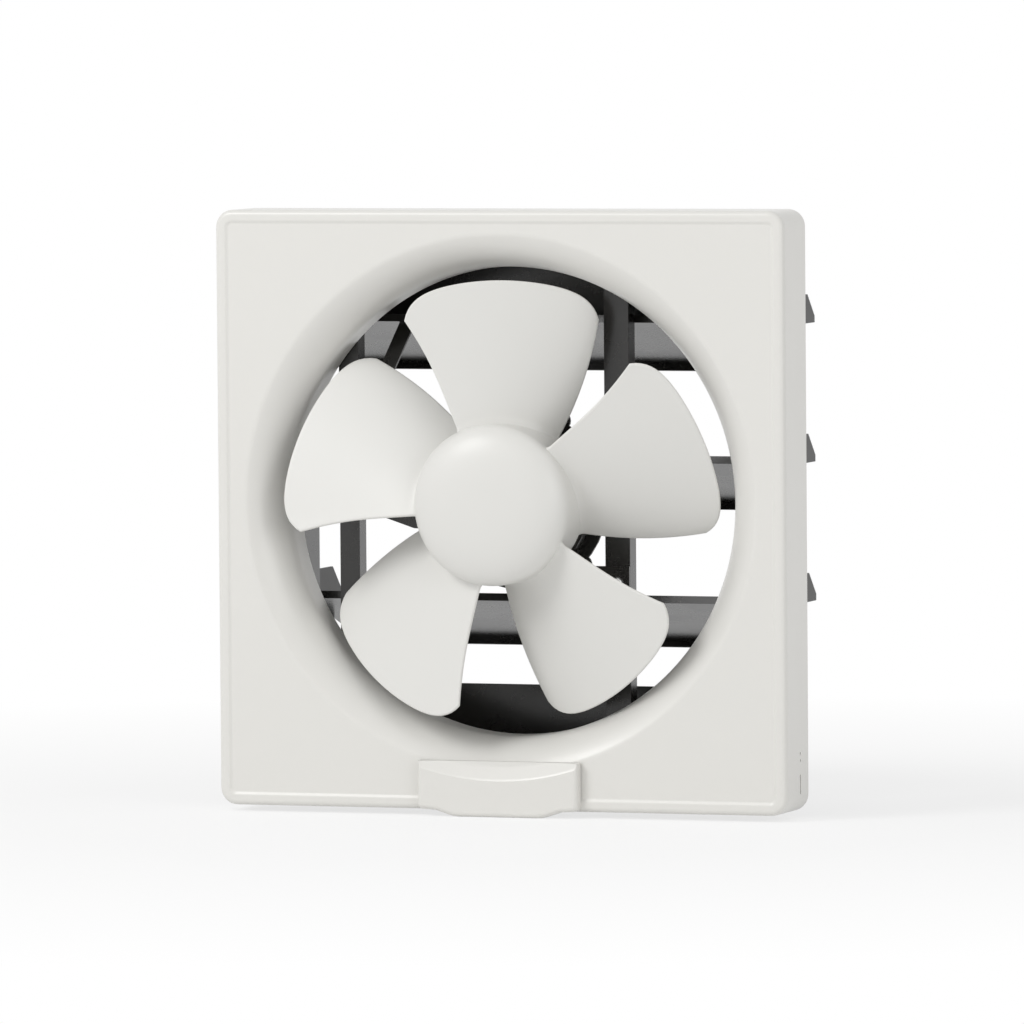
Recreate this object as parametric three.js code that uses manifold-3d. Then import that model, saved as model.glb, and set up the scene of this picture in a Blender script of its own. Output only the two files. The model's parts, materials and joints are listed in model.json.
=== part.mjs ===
// Shutter exhaust fan for a 300 mm square wall or window opening. Millimetres, +Z up, the room is at -Y.
// Every piece is drawn about the fan axis, which runs along Y: y = 0 is the face of the panel and
// y = PANEL_DEPTH is the wall. The last lines move the origin to the point where the axis meets the wall.
import * as THREE from "three";
import { mergeVertices } from "three/addons/utils/BufferGeometryUtils.js";
import Module from "manifold-3d";

const wasm = await Module();
wasm.setup();

// ---- driving dimensions ----------------------------------------------------------------------------
const FIT = 0.05;                   // radial room of a pressed or threaded piece
const RUNNING = 0.1;                // radial room of a turning piece
const LOOSE = 0.4;                  // radial room of a screw in a plain hole

// circle of the blades, with the frame and the panel round it
const FAN_RADIUS = 128;             // tips of the blades
const TIP_ROOM = 7;
const THROAT_RADIUS = FAN_RADIUS + TIP_ROOM;
const PANEL_WALL = 2.5;
const THROAT_ROOM = 6.8;            // throat to the frame round it
const FRAME_WALL = 1.2;
const frameInner = THROAT_RADIUS + PANEL_WALL + THROAT_ROOM;
const FRAME_HALF = frameInner + FRAME_WALL;     // goes into the 300 mm opening
const FLANGE_WIDTH = 20.5;
const FLANGE_HALF = FRAME_HALF + FLANGE_WIDTH;  // flange that lies on the wall, inside the panel
const PANEL_ROOM = 3.5;             // flange to the panel's side walls
const panelHalf = FLANGE_HALF + PANEL_ROOM + PANEL_WALL;

// front panel
const PANEL_DEPTH = 41;             // face to wall
const PANEL_CORNER = 10;
const PANEL_EDGE = 3;               // rounding of the front edge
const PANEL_DROP = 4;               // panel centre below the fan axis
const BORDER_WIDTH = 6;             // raised border round the face
const BORDER_STEP = 0.9;
const BELL_LAND = 17.6;             // face left beside the bell
const BELL_RADIUS = panelHalf - BELL_LAND;      // mouth of the bell, at the face
const BELL_LENGTH = 26;
const BELL_START = 25;              // degrees round its quarter ellipse at which the bell meets the face
const SCREW_INSET = 10;             // screws, from the flange's edge
const POST_AT = FLANGE_HALF - SCREW_INSET;      // screw posts, from the panel's centre
const POST_RADIUS = 5;
const POST_THREAD = 13;
const panelRim = -panelHalf - PANEL_DROP;
const VENT_Y = PANEL_DEPTH - 15;    // small openings in the right side wall
const VENT_SLIT = [panelRim + 11, panelRim + 22];
const VENT_HOLES = [panelRim + 30, panelRim + 34];
const VENT_RADIUS = 0.9;

// oil cup
const CUP_WIDTH = 97;
const CUP_DEPTH = 6.6;              // how far it stands out from the face
const CUP_HEIGHT = 32.1;
const CUP_OVERHANG = 3.6;           // below the panel's lower edge
const CUP_BOTTOM = panelRim - CUP_OVERHANG;
const CUP_TOP = CUP_BOTTOM + CUP_HEIGHT;
const CUP_SHOULDER = 38;            // half width at the panel's lower edge
const CUP_SPOUT = 22;               // half width of the bottom
const CUP_WALL = 1.2;
const HOOK_X = 30;
const HOOK_LEVEL = 21.6;            // above the cup's bottom
const HOOK_Z = CUP_BOTTOM + HOOK_LEVEL;
const HOOK_NECK = [4, 3.6];         // width and height
const HOOK_HEAD = [7.6, 3.6, 1.6];  // width, height and thickness
const HOOK_TRAVEL = 8;              // the cup slides down this far to come free

// places along the fan axis
const MOTOR_SPLIT = PANEL_DEPTH + 1;            // plane where the motor's two end shells meet
const FRONT_SHELL = 20;             // length of each end shell
const REAR_SHELL = 12;
const MOTOR_FRONT = MOTOR_SPLIT - FRONT_SHELL;
const MOTOR_REAR = MOTOR_SPLIT + REAR_SHELL;
const HUB_ROOM = 4;                 // motor to hub
const HUB_LENGTH = 30;
const HUB_REAR = MOTOR_FRONT - HUB_ROOM;
const HUB_FRONT = HUB_REAR - HUB_LENGTH;
const SHAFT_STUB = 9;               // length in front of the hub
const SHAFT_INSET = 2;              // shaft's end to the motor's rear face
const SHAFT_FRONT = HUB_FRONT - SHAFT_STUB;
const SHAFT_REAR = MOTOR_REAR - SHAFT_INSET;

// impeller
const BLADE_COUNT = 5;
const BLADE_THICK = 2.4;
const BLADE_MIDDLE = [-2.5, 6.5];   // blade from the hub's middle at its root, and further back at its tip
const BLADE_PITCH = [24.8, 46.8];   // travel along the axis per radian, at root and tip
const BLADE_CAMBER = [2.4, 4.6];    // at root and tip
const HUB_RADIUS = 46.3;
const HUB_WALL = 2.6;
const BOSS_RADIUS = 9;
const SPINNER_HEIGHT = 15;
const SPINNER_WALL = 2;

// motor
const SHAFT_RADIUS = 4;
const NUT_LENGTH = 6;
const NUT_FLATS = 15;
const MOTOR_RADIUS = 46;
const MOTOR_WALL = 1.5;
const MOTOR_ROUND = 5;
const CORE_RADII = [24, MOTOR_RADIUS - MOTOR_WALL - RUNNING];
const CORE_LENGTH = 12;
const COIL_ROOM = 3.5;              // windings to the shells round them
const COIL_RADII = [28, MOTOR_RADIUS - MOTOR_WALL - COIL_ROOM];
const COIL_LENGTH = 4;
const AIR_GAP = 0.5;
const BEARING_RADIUS = 9.5;
const BEARING_WIDTH = 6;

// motor bracket and its two struts
const BRACKET_SHEET = 1.5;
const STRUT_FRONT = PANEL_DEPTH + BRACKET_SHEET;
const STRUT_SHEET = 1.5;
const STRUT_DEPTH = 11.5;
const STRUT_FOOT = 14;
const LEFT_INSET = 32.3;            // frame wall to the left strut
const LEFT_WIDTH = 12;
const LEFT_STRUT = [LEFT_INSET - frameInner, LEFT_INSET + LEFT_WIDTH - frameInner];
const RIGHT_ROOM = 4;               // motor to the right strut
const RIGHT_WIDTH = 15;
const RIGHT_STRUT = [MOTOR_RADIUS + RIGHT_ROOM, MOTOR_RADIUS + RIGHT_ROOM + RIGHT_WIDTH];
const STRUT_SCREW_Z = [4, -47.5];   // screws that hold the bracket to the left and the right strut
const RING_WIDTH = 6;
const BRACKET_RING = MOTOR_RADIUS + RING_WIDTH; // outer radius of the ring round the motor
const RIGHT_ARM = [-58, -37.5];     // lower and upper edge
const LUG_CIRCLE = BRACKET_RING;
const LUG_RADIUS = 5.5;
const LUG_THICK = 3;
const SCREW_RADIUS = 2;
const SCREW_HEAD = [4, 2.2];        // radius and height

// rear frame
const FRAME_DEPTH = 55;             // behind the wall's face
const FRAME_REAR = PANEL_DEPTH + FRAME_DEPTH;
const FLANGE_SHEET = 1.5;
const WALL_HOLE = 2.5;              // four holes in the flange for the wall screws
const WALL_HOLE_AT = FLANGE_HALF - SCREW_INSET;

// shutter
const SLAT_COUNT = 3;
const SLAT_INNER = 36;              // pivot to the room-side edge
const SLAT_OUTER = 52;              // pivot to the outer edge
const SLAT_LAP = 7.3;               // overlap of two closed slats
const SLAT_PITCH = SLAT_INNER + SLAT_OUTER - SLAT_LAP;
const TOP_ROOM = 17.2;              // closed top slat to the frame's top wall
const TOP_PIVOT = frameInner - TOP_ROOM - SLAT_INNER;
const HEADER_LAP = 24.1;            // the top slat closes against the header
const HEADER_BOTTOM = TOP_PIVOT + SLAT_INNER - HEADER_LAP;
const SILL_LAP = 12.3;              // the bottom slat closes against the sill
const SILL_TOP = TOP_PIVOT - (SLAT_COUNT - 1) * SLAT_PITCH - SLAT_OUTER + SILL_LAP;
const PIVOT_Y = FRAME_REAR - 4;
const SILL_FRONT = PIVOT_Y - 3.4;
const SLAT_SHEET = 1;
const SLAT_ROOM = 6.3;              // slat to the frame's side wall
const SLAT_HALF = frameInner - SLAT_ROOM;       // half the length of a slat
const SLAT_REST = 18.3;             // degrees that an open slat falls below the horizontal
const INNER_LIP = 4;
const OUTER_LIP = 4.5;
const END_PLATE = 1.2;
const END_RADIUS = 8;
const AXLE_RADIUS = 2.5;
const SHOULDER_RADIUS = 4.5;
const CHEEK_X = FRAME_HALF + 0.5;   // inner face of a cheek, outside the frame's side wall
const CHEEK_SHEET = 1.5;
const HORN_TIP = [44.5, 8.4, 12.4]; // depth, lower and upper height of the horn's blunt tip
const HORN_FOOT = 27;               // depth at which its lower edge turns down to the pivot
const HORN_TOP = [31, 8, 25.2];     // far and near end of the horn's top edge, and its height
const LINK_X = SLAT_HALF + 2;
const LINK_SHEET = 1.5;
const LINK_WIDTH = 8;
const LINK_PIN = [14, 12];          // behind and above the pivot
const LINK_PIN_RADIUS = 1.6;
const LINK_PIN_HEAD = [2.6, 1];
const ARM_X = -76;                  // middle of the operating arm on the top slat
const ARM_WIDTH = 9;
const ARM_SHEET = 1.6;
const ARM_PAD = [2 - SLAT_INNER, 18 - SLAT_INNER];  // where it lies under the slat, from the pivot
const ARM_TIP = [-8, -SLAT_INNER - 2.6, -32];       // sideways, inward and down from its root

// electrical pieces
const BOX_SIZE = [46, 38, 27];
const BOX_WALL = 1.8;
const BOX_GAP = 3.6;                // box to the sill behind it
const BOX_Y = SILL_FRONT - BOX_GAP - BOX_SIZE[1];
const BOX_ROOM = 4.3;               // box to the frame's side wall
const BOX_RIGHT = frameInner - BOX_ROOM;
const LID_THICK = 2;
const LID_DEPTH = 1.5;              // how far the lid reaches into the box
const GLAND_LEVEL = 13;
const GLAND_RADIUS = 6;
const GLAND_NECK = 4.5;
const GLAND_BORE = 3.2;
const GLAND_LENGTH = 9;
const CAPACITOR_RADIUS = 12.5;
const CAPACITOR_LENGTH = 36;
const CAPACITOR_ROOM = 2.5;         // capacitor to the left strut
const CAPACITOR_X = LEFT_STRUT[0] - CAPACITOR_ROOM - CAPACITOR_RADIUS;
const CLAMP_THICK = 1.2;
const CLAMP_WIDTH = 10;

// ---- finishes --------------------------------------------------------------------------------------
const finish = (color, roughness, metalness = 0) =>
  new THREE.MeshStandardMaterial({ color, roughness, metalness });
const whitePlastic = finish(0xe6e4dd, 0.35);
const bladePlastic = finish(0xe8e6e0, 0.3);
const blackSheet = finish(0x24241f, 0.35, 0.2);
const steel = finish(0x9c9c9a, 0.3, 1);
const coreSteel = finish(0x55544f, 0.5, 0.8);
const copper = finish(0x9a4a22, 0.4, 0.9);
const blackPlastic = finish(0x1c1c1b, 0.5);
const greyPlastic = finish(0x8d8d8a, 0.45);

// ---- shapes ----------------------------------------------------------------------------------------
const rad = THREE.MathUtils.degToRad;

function block(x0, x1, y0, y1, z0, z1) {
  const box = new THREE.BoxGeometry(Math.abs(x1 - x0), Math.abs(y1 - y0), Math.abs(z1 - z0));
  return box.translate((x0 + x1) / 2, (y0 + y1) / 2, (z0 + z1) / 2);
}

const rod = (radius, a, b, sides) => new THREE.CylinderGeometry(radius, radius, Math.abs(b - a), sides);
const rodX = (radius, x0, x1, y, z, sides = 20) =>
  rod(radius, x0, x1, sides).rotateZ(Math.PI / 2).translate((x0 + x1) / 2, y, z);
const rodY = (radius, y0, y1, x = 0, z = 0, sides = 20) =>
  rod(radius, y0, y1, sides).translate(x, (y0 + y1) / 2, z);
const rodZ = (radius, z0, z1, x, y, sides = 20) =>
  rod(radius, z0, z1, sides).rotateX(Math.PI / 2).translate(x, y, (z0 + z1) / 2);

// A closed [radius, y] profile turned about the fan axis.
const turned = (profile, sides = 60) =>
  new THREE.LatheGeometry(profile.map(([r, y]) => new THREE.Vector2(r, y)), sides);

const tube = (inner, outer, y0, y1, sides = 40) =>
  turned([[inner, y0], [outer, y0], [outer, y1], [inner, y1], [inner, y0]], sides);

const outline = (points) => new THREE.Shape(points.map(([a, b]) => new THREE.Vector2(a, b)));

const thicken = (shape, depth) =>
  new THREE.ExtrudeGeometry(shape, { depth, bevelEnabled: false, curveSegments: 10 });

// An outline in x and z, given thickness from y0 to y1.
const plateXZ = (shape, y0, y1) => thicken(shape, y1 - y0).rotateX(Math.PI / 2).translate(0, y1, 0);

// An outline in y and z, given thickness from x0 to x1.
const acrossX = new THREE.Matrix4().makeBasis(
  new THREE.Vector3(0, 1, 0), new THREE.Vector3(0, 0, 1), new THREE.Vector3(1, 0, 0));
const plateYZ = (shape, x0, x1) => thicken(shape, x1 - x0).applyMatrix4(acrossX).translate(x0, 0, 0);

// Closed solid through rings of points that all have the same count.
function loft(rings, ends) {
  const count = rings[0].length;
  const last = (rings.length - 1) * count;
  const index = [];
  for (let k = 0; k + 1 < rings.length; k++) {
    for (let i = 0; i < count; i++) {
      const a = k * count + i;
      const b = k * count + (i + 1) % count;
      index.push(a, b, a + count, b, b + count, a + count);
    }
  }
  for (const [a, b, c] of ends(count)) {
    index.push(a, c, b, last + a, last + b, last + c);
  }
  const geometry = new THREE.BufferGeometry();
  geometry.setAttribute("position", new THREE.Float32BufferAttribute(rings.flat(2), 3));
  geometry.setIndex(index);
  return geometry;
}

// Triangles that close a ring as a fan, or as strips between the two sides of a thin section.
const fanEnd = (count) => Array.from({ length: count - 2 }, (_, i) => [0, i + 1, i + 2]);
const thinEnd = (count) => Array.from({ length: count / 2 - 1 }, (_, i) => [
  [i, i + 1, count - 1 - i], [i + 1, count - 2 - i, count - 1 - i]]).flat();

// Rounded square about the panel's centre, at depth y.
function squareRing(half, corner, y, steps = 6) {
  const ring = [];
  for (const quarter of [0, 1, 2, 3]) {
    const side = (quarter + 0.5) * Math.PI / 2;
    const cx = Math.sign(Math.cos(side)) * (half - corner);
    const cz = Math.sign(Math.sin(side)) * (half - corner);
    for (let i = 0; i <= steps; i++) {
      const angle = (quarter + i / steps) * Math.PI / 2;
      ring.push([cx + corner * Math.cos(angle), y, cz + corner * Math.sin(angle) - PANEL_DROP]);
    }
  }
  return ring;
}

function solid(geometry) {
  const bare = geometry.clone();
  bare.deleteAttribute("normal");
  bare.deleteAttribute("uv");
  const merged = mergeVertices(bare, 1e-4);
  return new wasm.Manifold(new wasm.Mesh({
    numProp: 3,
    vertProperties: new Float32Array(merged.attributes.position.array),
    triVerts: new Uint32Array(merged.index.array),
  }));
}

const join = (...pieces) => pieces.map(solid).reduce((a, b) => a.add(b));
const cut = (body, ...pieces) => pieces.map(solid).reduce((a, b) => a.subtract(b), body);

function geometryOf(body) {
  const mesh = body.getMesh();
  const geometry = new THREE.BufferGeometry();
  geometry.setAttribute("position", new THREE.BufferAttribute(new Float32Array(mesh.vertProperties), 3));
  geometry.setIndex(new THREE.BufferAttribute(new Uint32Array(mesh.triVerts), 1));
  geometry.computeVertexNormals();
  return geometry;
}

const fan = new THREE.Group();

function add(name, body, material, parent = fan) {
  const mesh = new THREE.Mesh(geometryOf(body), material);
  mesh.name = name;
  parent.add(mesh);
}

// ---- places worked out from the dimensions -----------------------------------------------------------
const wall = PANEL_DEPTH;
const flangeFront = wall - FLANGE_SHEET;
const corners = [[-1, -1], [1, -1], [1, 1], [-1, 1]];
const posts = corners.map(([sx, sz]) => [sx * POST_AT, sz * POST_AT - PANEL_DROP]);
const bracketFront = STRUT_FRONT - BRACKET_SHEET;
const lugs = [180, -45, 62].map((a) => [LUG_CIRCLE * Math.cos(rad(a)), LUG_CIRCLE * Math.sin(rad(a))]);
const strutScrews = [
  [(LEFT_STRUT[0] + LEFT_STRUT[1]) / 2, STRUT_SCREW_Z[0]],
  [(RIGHT_STRUT[0] + RIGHT_STRUT[1]) / 2, STRUT_SCREW_Z[1]],
];
const strutMiddle = STRUT_FRONT + STRUT_DEPTH / 2;
const strutEnds = [LEFT_STRUT, RIGHT_STRUT].map(([, x1]) => [x1 + STRUT_FOOT / 2, strutMiddle]);
const pivots = Array.from({ length: SLAT_COUNT }, (_, i) => TOP_PIVOT - i * SLAT_PITCH);
const clampScrew = [CAPACITOR_X + CAPACITOR_RADIUS + 8, BOX_Y + CAPACITOR_LENGTH / 2];
const armRivetY = (ARM_PAD[0] + ARM_PAD[1]) / 2;
const rivetRadius = SCREW_RADIUS - 0.5;

// ---- front panel -----------------------------------------------------------------------------------
// Quarter ellipse from the face into the throat, pushed outwards by a wall thickness. It meets the face
// at a slight angle.
function bellCurve(offset, steps = 7) {
  const start = rad(BELL_START);
  const curve = [];
  for (let i = 0; i <= steps; i++) {
    const t = start + i / steps * (Math.PI / 2 - start);
    const inward = (Math.sin(t) - Math.sin(start)) / (1 - Math.sin(start));
    const r = BELL_RADIUS - (BELL_RADIUS - THROAT_RADIUS) * inward;
    const y = BORDER_STEP + BELL_LENGTH * (1 - Math.cos(t) / Math.cos(start));
    curve.push([r + offset * Math.sin(t), y + offset * Math.cos(t)]);
  }
  curve.push([THROAT_RADIUS + offset, wall]);
  return curve;
}

function panelShell(edgeSteps = 4) {
  const rings = [squareRing(panelHalf, PANEL_CORNER, wall)];
  for (let i = 0; i <= edgeSteps; i++) {
    const t = i / edgeSteps * Math.PI / 2;
    const inset = PANEL_EDGE * (1 - Math.cos(t));
    rings.push(squareRing(panelHalf - inset, PANEL_CORNER - inset, PANEL_EDGE * (1 - Math.sin(t))));
  }
  const inner = panelHalf - PANEL_WALL;
  const hollow = loft([
    squareRing(inner, PANEL_CORNER - PANEL_WALL, wall + 1),
    squareRing(inner, PANEL_CORNER - PANEL_WALL, BORDER_STEP + PANEL_WALL),
  ], fanEnd);
  const face = loft([
    squareRing(panelHalf - BORDER_WIDTH, PANEL_CORNER - 3, BORDER_STEP),
    squareRing(panelHalf - BORDER_WIDTH + 1, PANEL_CORNER - 2, -1),
  ], fanEnd);
  return cut(solid(loft(rings, fanEnd)), hollow, face, rodY(BELL_RADIUS + 1, -1, PANEL_WALL + 4, 0, 0, 60));
}

function bellMouth() {
  const land = BELL_RADIUS + 2;
  return turned([
    [land, BORDER_STEP + PANEL_WALL], ...bellCurve(PANEL_WALL), ...bellCurve(0).reverse(),
    [land, BORDER_STEP], [land, BORDER_STEP + PANEL_WALL],
  ]);
}

// Keyhole for a hook of the oil cup: narrow at the top, wide where the cup comes free.
function keyhole(x) {
  const back = BORDER_STEP + PANEL_WALL + 1;
  const middle = HOOK_Z - HOOK_TRAVEL / 2;
  const narrow = HOOK_NECK[0] / 2 + LOOSE;
  const wide = HOOK_HEAD[0] / 2 + LOOSE;
  const top = HOOK_Z + HOOK_NECK[1] / 2;
  const bottom = HOOK_Z - HOOK_TRAVEL - HOOK_HEAD[1] / 2 - LOOSE;
  return [
    block(x - narrow, x + narrow, -1, back, middle, top),
    block(x - wide, x + wide, -1, back, bottom, middle),
  ];
}

function frontPanel() {
  const columns = posts.map(([x, z]) => rodY(POST_RADIUS, BORDER_STEP + 1, flangeFront, x, z));
  const threads = posts.map(([x, z]) => 
    rodY(SCREW_RADIUS + FIT, flangeFront - POST_THREAD, flangeFront + 1, x, z, 12));
  const inside = panelHalf - PANEL_WALL - 1;
  const outside = panelHalf + 1;
  const slit = block(inside, outside, VENT_Y - VENT_RADIUS, VENT_Y + VENT_RADIUS, ...VENT_SLIT);
  const holes = VENT_HOLES.map((z) => rodX(VENT_RADIUS, inside, outside, VENT_Y, z, 12));
  const body = [bellMouth(), ...columns].map(solid).reduce((a, b) => a.add(b), panelShell());
  return cut(body, ...threads, ...keyhole(-HOOK_X), ...keyhole(HOOK_X), slit, ...holes);
}
add("front_panel", frontPanel(), whitePlastic);

// ---- oil cup: a shallow tray in front of the lower rim, hooked into the panel ------------------------
function cupOutline(inset, top) {
  const half = CUP_WIDTH / 2 - inset;
  const bottom = CUP_BOTTOM + inset;
  const spout = CUP_SPOUT - inset / 2;
  return outline([
    [-half, top], [-half, panelRim + 4 + inset], [-CUP_SHOULDER, panelRim + inset], [-spout, bottom],
    [spout, bottom], [CUP_SHOULDER, panelRim + inset], [half, panelRim + 4 + inset], [half, top],
  ]);
}

function cupHook(x) {
  const back = BORDER_STEP + PANEL_WALL + FIT;
  const [neck, neckHeight] = HOOK_NECK;
  const [head, headHeight, headThick] = HOOK_HEAD;
  const rise = headHeight / 2;
  return [
    block(x - neck / 2, x + neck / 2, -1, back + 0.5, HOOK_Z - neckHeight / 2, HOOK_Z + neckHeight / 2),
    block(x - head / 2, x + head / 2, back, back + headThick, HOOK_Z - rise, HOOK_Z + rise),
  ];
}

function oilCup() {
  const tray = plateXZ(cupOutline(0, CUP_TOP), -CUP_DEPTH, 0);
  const hollow = plateXZ(cupOutline(CUP_WALL, CUP_TOP + 1), -CUP_DEPTH + CUP_WALL, -CUP_WALL);
  return cut(join(tray), hollow).add(join(...cupHook(-HOOK_X), ...cupHook(HOOK_X)));
}
add("oil_cup", oilCup(), whitePlastic);

// ---- impeller --------------------------------------------------------------------------------------
// At share s of the way from hub to tip a blade reaches from its trailing to its leading angle, which
// count counter-clockwise as seen from the room. The leading edge is the one nearer the room.
const leadAngle = (s) => rad(26 - 1.5 * Math.sin(Math.PI * s));
const trailAngle = (s) => -rad(41 - 14.5 * s ** 0.8);
const between = ([a, b], s) => a + (b - a) * s;
const bladeMiddle = (s) => (HUB_FRONT + HUB_REAR) / 2 + BLADE_MIDDLE[0] + BLADE_MIDDLE[1] * s;
const tipRounding = (u) => 11 * Math.abs(2 * u - 1) ** 7;

function bladePoint(s, u, side) {
  const root = HUB_RADIUS - HUB_WALL / 2;
  const r = root + s * (FAN_RADIUS - tipRounding(u) - root);
  const angle = trailAngle(s) + u * (leadAngle(s) - trailAngle(s));
  const bulge = 4 * u * (1 - u);
  const half = side * BLADE_THICK / 2 * (0.45 + 0.55 * Math.sqrt(bulge));
  const y = bladeMiddle(s) - between(BLADE_PITCH, s) * angle - between(BLADE_CAMBER, s) * bulge + half;
  return [-r * Math.sin(angle), y, r * Math.cos(angle)];
}

function blade(along = 6, across = 8) {
  const shares = Array.from({ length: across + 1 }, (_, k) => k / across);
  const rings = Array.from({ length: along + 1 }, (_, i) => [
    ...shares.map((u) => bladePoint(i / along, u, 1)),
    ...shares.map((u) => bladePoint(i / along, 1 - u, -1)),
  ]);
  return loft(rings, thinEnd);
}

function impeller() {
  const rim = HUB_RADIUS - HUB_WALL;
  const floor = HUB_FRONT + HUB_WALL;
  const bore = SHAFT_RADIUS + FIT;
  const drum = turned([
    [bore, HUB_FRONT], [HUB_RADIUS, HUB_FRONT], [HUB_RADIUS, HUB_REAR], [rim, HUB_REAR], [rim, floor],
    [BOSS_RADIUS, floor], [BOSS_RADIUS, HUB_REAR], [bore, HUB_REAR], [bore, HUB_FRONT],
  ], 48);
  const turns = Array.from({ length: BLADE_COUNT }, (_, i) => i * 2 * Math.PI / BLADE_COUNT);
  return join(drum, ...turns.map((angle) => blade().rotateY(angle)));
}
add("impeller", impeller(), bladePlastic);

// Cap that snaps over the front of the hub.
function spinner(steps = 6) {
  const dome = (radius, height) => Array.from({ length: steps + 1 }, (_, i) => {
    const t = i / steps * Math.PI / 2;
    return [i === steps ? 0 : radius * Math.cos(t) ** 0.85, HUB_FRONT - height * Math.sin(t)];
  });
  return turned([
    ...dome(HUB_RADIUS, SPINNER_HEIGHT).reverse(),
    ...dome(HUB_RADIUS - SPINNER_WALL, SPINNER_HEIGHT - SPINNER_WALL),
  ], 48);
}
add("spinner", join(spinner()), whitePlastic);

function impellerNut() {
  const across = NUT_FLATS / Math.sqrt(3);
  const hexagon = rodY(across, HUB_FRONT - NUT_LENGTH, HUB_FRONT, 0, 0, 6);
  return cut(join(hexagon), rodY(SHAFT_RADIUS + FIT, HUB_FRONT - NUT_LENGTH - 1, HUB_FRONT + 1));
}
add("impeller_nut", impellerNut(), steel);
add("motor_shaft", join(rodY(SHAFT_RADIUS, SHAFT_FRONT, SHAFT_REAR)), steel);

// ---- motor -----------------------------------------------------------------------------------------
const coreFront = (MOTOR_FRONT + MOTOR_REAR - CORE_LENGTH) / 2;
const coreRear = coreFront + CORE_LENGTH;
const rotorRadius = CORE_RADII[0] - AIR_GAP;
add("rotor_core", join(tube(SHAFT_RADIUS + FIT, rotorRadius, coreFront, coreRear)), coreSteel);

// One end shell: a cup with a bearing seat, open towards the split plane.
function endShell(end) {
  const inward = Math.sign(MOTOR_SPLIT - end);
  const floor = end + inward * MOTOR_WALL;
  const seat = end + inward * (MOTOR_WALL + BEARING_WIDTH);
  const hole = SHAFT_RADIUS + 1.2;
  const bearing = BEARING_RADIUS + FIT;
  const inner = MOTOR_RADIUS - MOTOR_WALL;
  const profile = [
    [hole, end], [MOTOR_RADIUS - MOTOR_ROUND, end], [MOTOR_RADIUS - 1.4, end + inward * 1.4],
    [MOTOR_RADIUS, end + inward * MOTOR_ROUND], [MOTOR_RADIUS, MOTOR_SPLIT], [inner, MOTOR_SPLIT],
    [inner, end + inward * MOTOR_ROUND], [MOTOR_RADIUS - MOTOR_ROUND, floor], [bearing + 2, floor],
    [bearing + 2, seat], [bearing, seat], [bearing, floor], [hole, floor], [hole, end],
  ];
  return turned(inward > 0 ? profile : profile.reverse(), 40);
}

function frontShell() {
  const rear = bracketFront;
  const front = rear - LUG_THICK;
  const arms = lugs.flatMap(([x, z]) => [
    rodY(LUG_RADIUS, front, rear, x, z),
    block(MOTOR_RADIUS - 4, LUG_CIRCLE, front, rear, -LUG_RADIUS, LUG_RADIUS).rotateY(-Math.atan2(z, x)),
  ]);
  const inside = rodY(MOTOR_RADIUS - 0.7, rear - LUG_THICK - 1, rear + 1, 0, 0, 40);
  const threads = lugs.map(([x, z]) => rodY(SCREW_RADIUS + FIT, rear - LUG_THICK - 1, rear + 1, x, z, 12));
  return solid(endShell(MOTOR_FRONT)).add(cut(join(...arms), inside, ...threads));
}
add("motor_front_shell", frontShell(), blackSheet);
add("motor_rear_shell", join(endShell(MOTOR_REAR)), blackSheet);

const bearingAt = (y0) => join(tube(SHAFT_RADIUS + FIT, BEARING_RADIUS, y0, y0 + BEARING_WIDTH, 32));
add("stator_core", join(tube(...CORE_RADII, coreFront, coreRear)), coreSteel);
add("coil_front", join(tube(...COIL_RADII, coreFront - COIL_LENGTH, coreFront)), copper);
add("coil_rear", join(tube(...COIL_RADII, coreRear, coreRear + COIL_LENGTH)), copper);
add("bearing_front", bearingAt(MOTOR_FRONT + MOTOR_WALL), steel);
add("bearing_rear", bearingAt(MOTOR_REAR - MOTOR_WALL - BEARING_WIDTH), steel);

// ---- bracket and struts ----------------------------------------------------------------------------
// A ring round the motor with one arm to each strut, lying on the struts' front faces.
function motorBracket() {
  const [left, bend] = LEFT_STRUT;
  const [, right] = RIGHT_STRUT;
  const [low, high] = RIGHT_ARM;
  const root = MOTOR_RADIUS - RING_WIDTH;
  const arms = [
    outline([[left, -6], [bend + 10, -9], [-BRACKET_RING - 14, -17], [-root, -18], [-root, 14], [left, 12]]),
    outline([[root / 2, low], [right, low], [right, high], [root / 2, high]]),
  ].map((shape) => plateXZ(shape, bracketFront, STRUT_FRONT));
  const ring = tube(MOTOR_RADIUS + FIT, BRACKET_RING, bracketFront, STRUT_FRONT);
  const ears = lugs.map(([x, z]) => rodY(LUG_RADIUS, bracketFront, STRUT_FRONT, x, z));
  const bores = [...lugs, ...strutScrews].map(([x, z]) =>
    rodY(SCREW_RADIUS + LOOSE, bracketFront - 1, STRUT_FRONT + 1, x, z, 12));
  const middle = rodY(MOTOR_RADIUS + FIT, bracketFront - 1, STRUT_FRONT + 1, 0, 0, 40);
  return cut(join(ring, ...arms, ...ears), middle, ...bores);
}
add("motor_bracket", motorBracket(), blackSheet);

// Angle-section strut between the frame's top and bottom walls, with a foot at each end.
function strut([x0, x1], [screwX, screwZ], [footX, footY]) {
  const rear = STRUT_FRONT + STRUT_DEPTH;
  const web = block(x0, x1, STRUT_FRONT, STRUT_FRONT + STRUT_SHEET, -frameInner, frameInner);
  const side = block(x1 - STRUT_SHEET, x1, STRUT_FRONT, rear, -frameInner, frameInner);
  const seat = frameInner - STRUT_SHEET;
  const feet = [-1, 1].map((end) =>
    block(x1 - STRUT_SHEET, x1 + STRUT_FOOT, STRUT_FRONT, rear, end * seat, end * frameInner));
  return cut(join(web, side, ...feet),
    rodY(SCREW_RADIUS + FIT, STRUT_FRONT - 1, STRUT_FRONT + STRUT_SHEET + 1, screwX, screwZ, 12),
    rodZ(SCREW_RADIUS + LOOSE, -frameInner - 1, frameInner + 1, footX, footY, 12));
}
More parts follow.
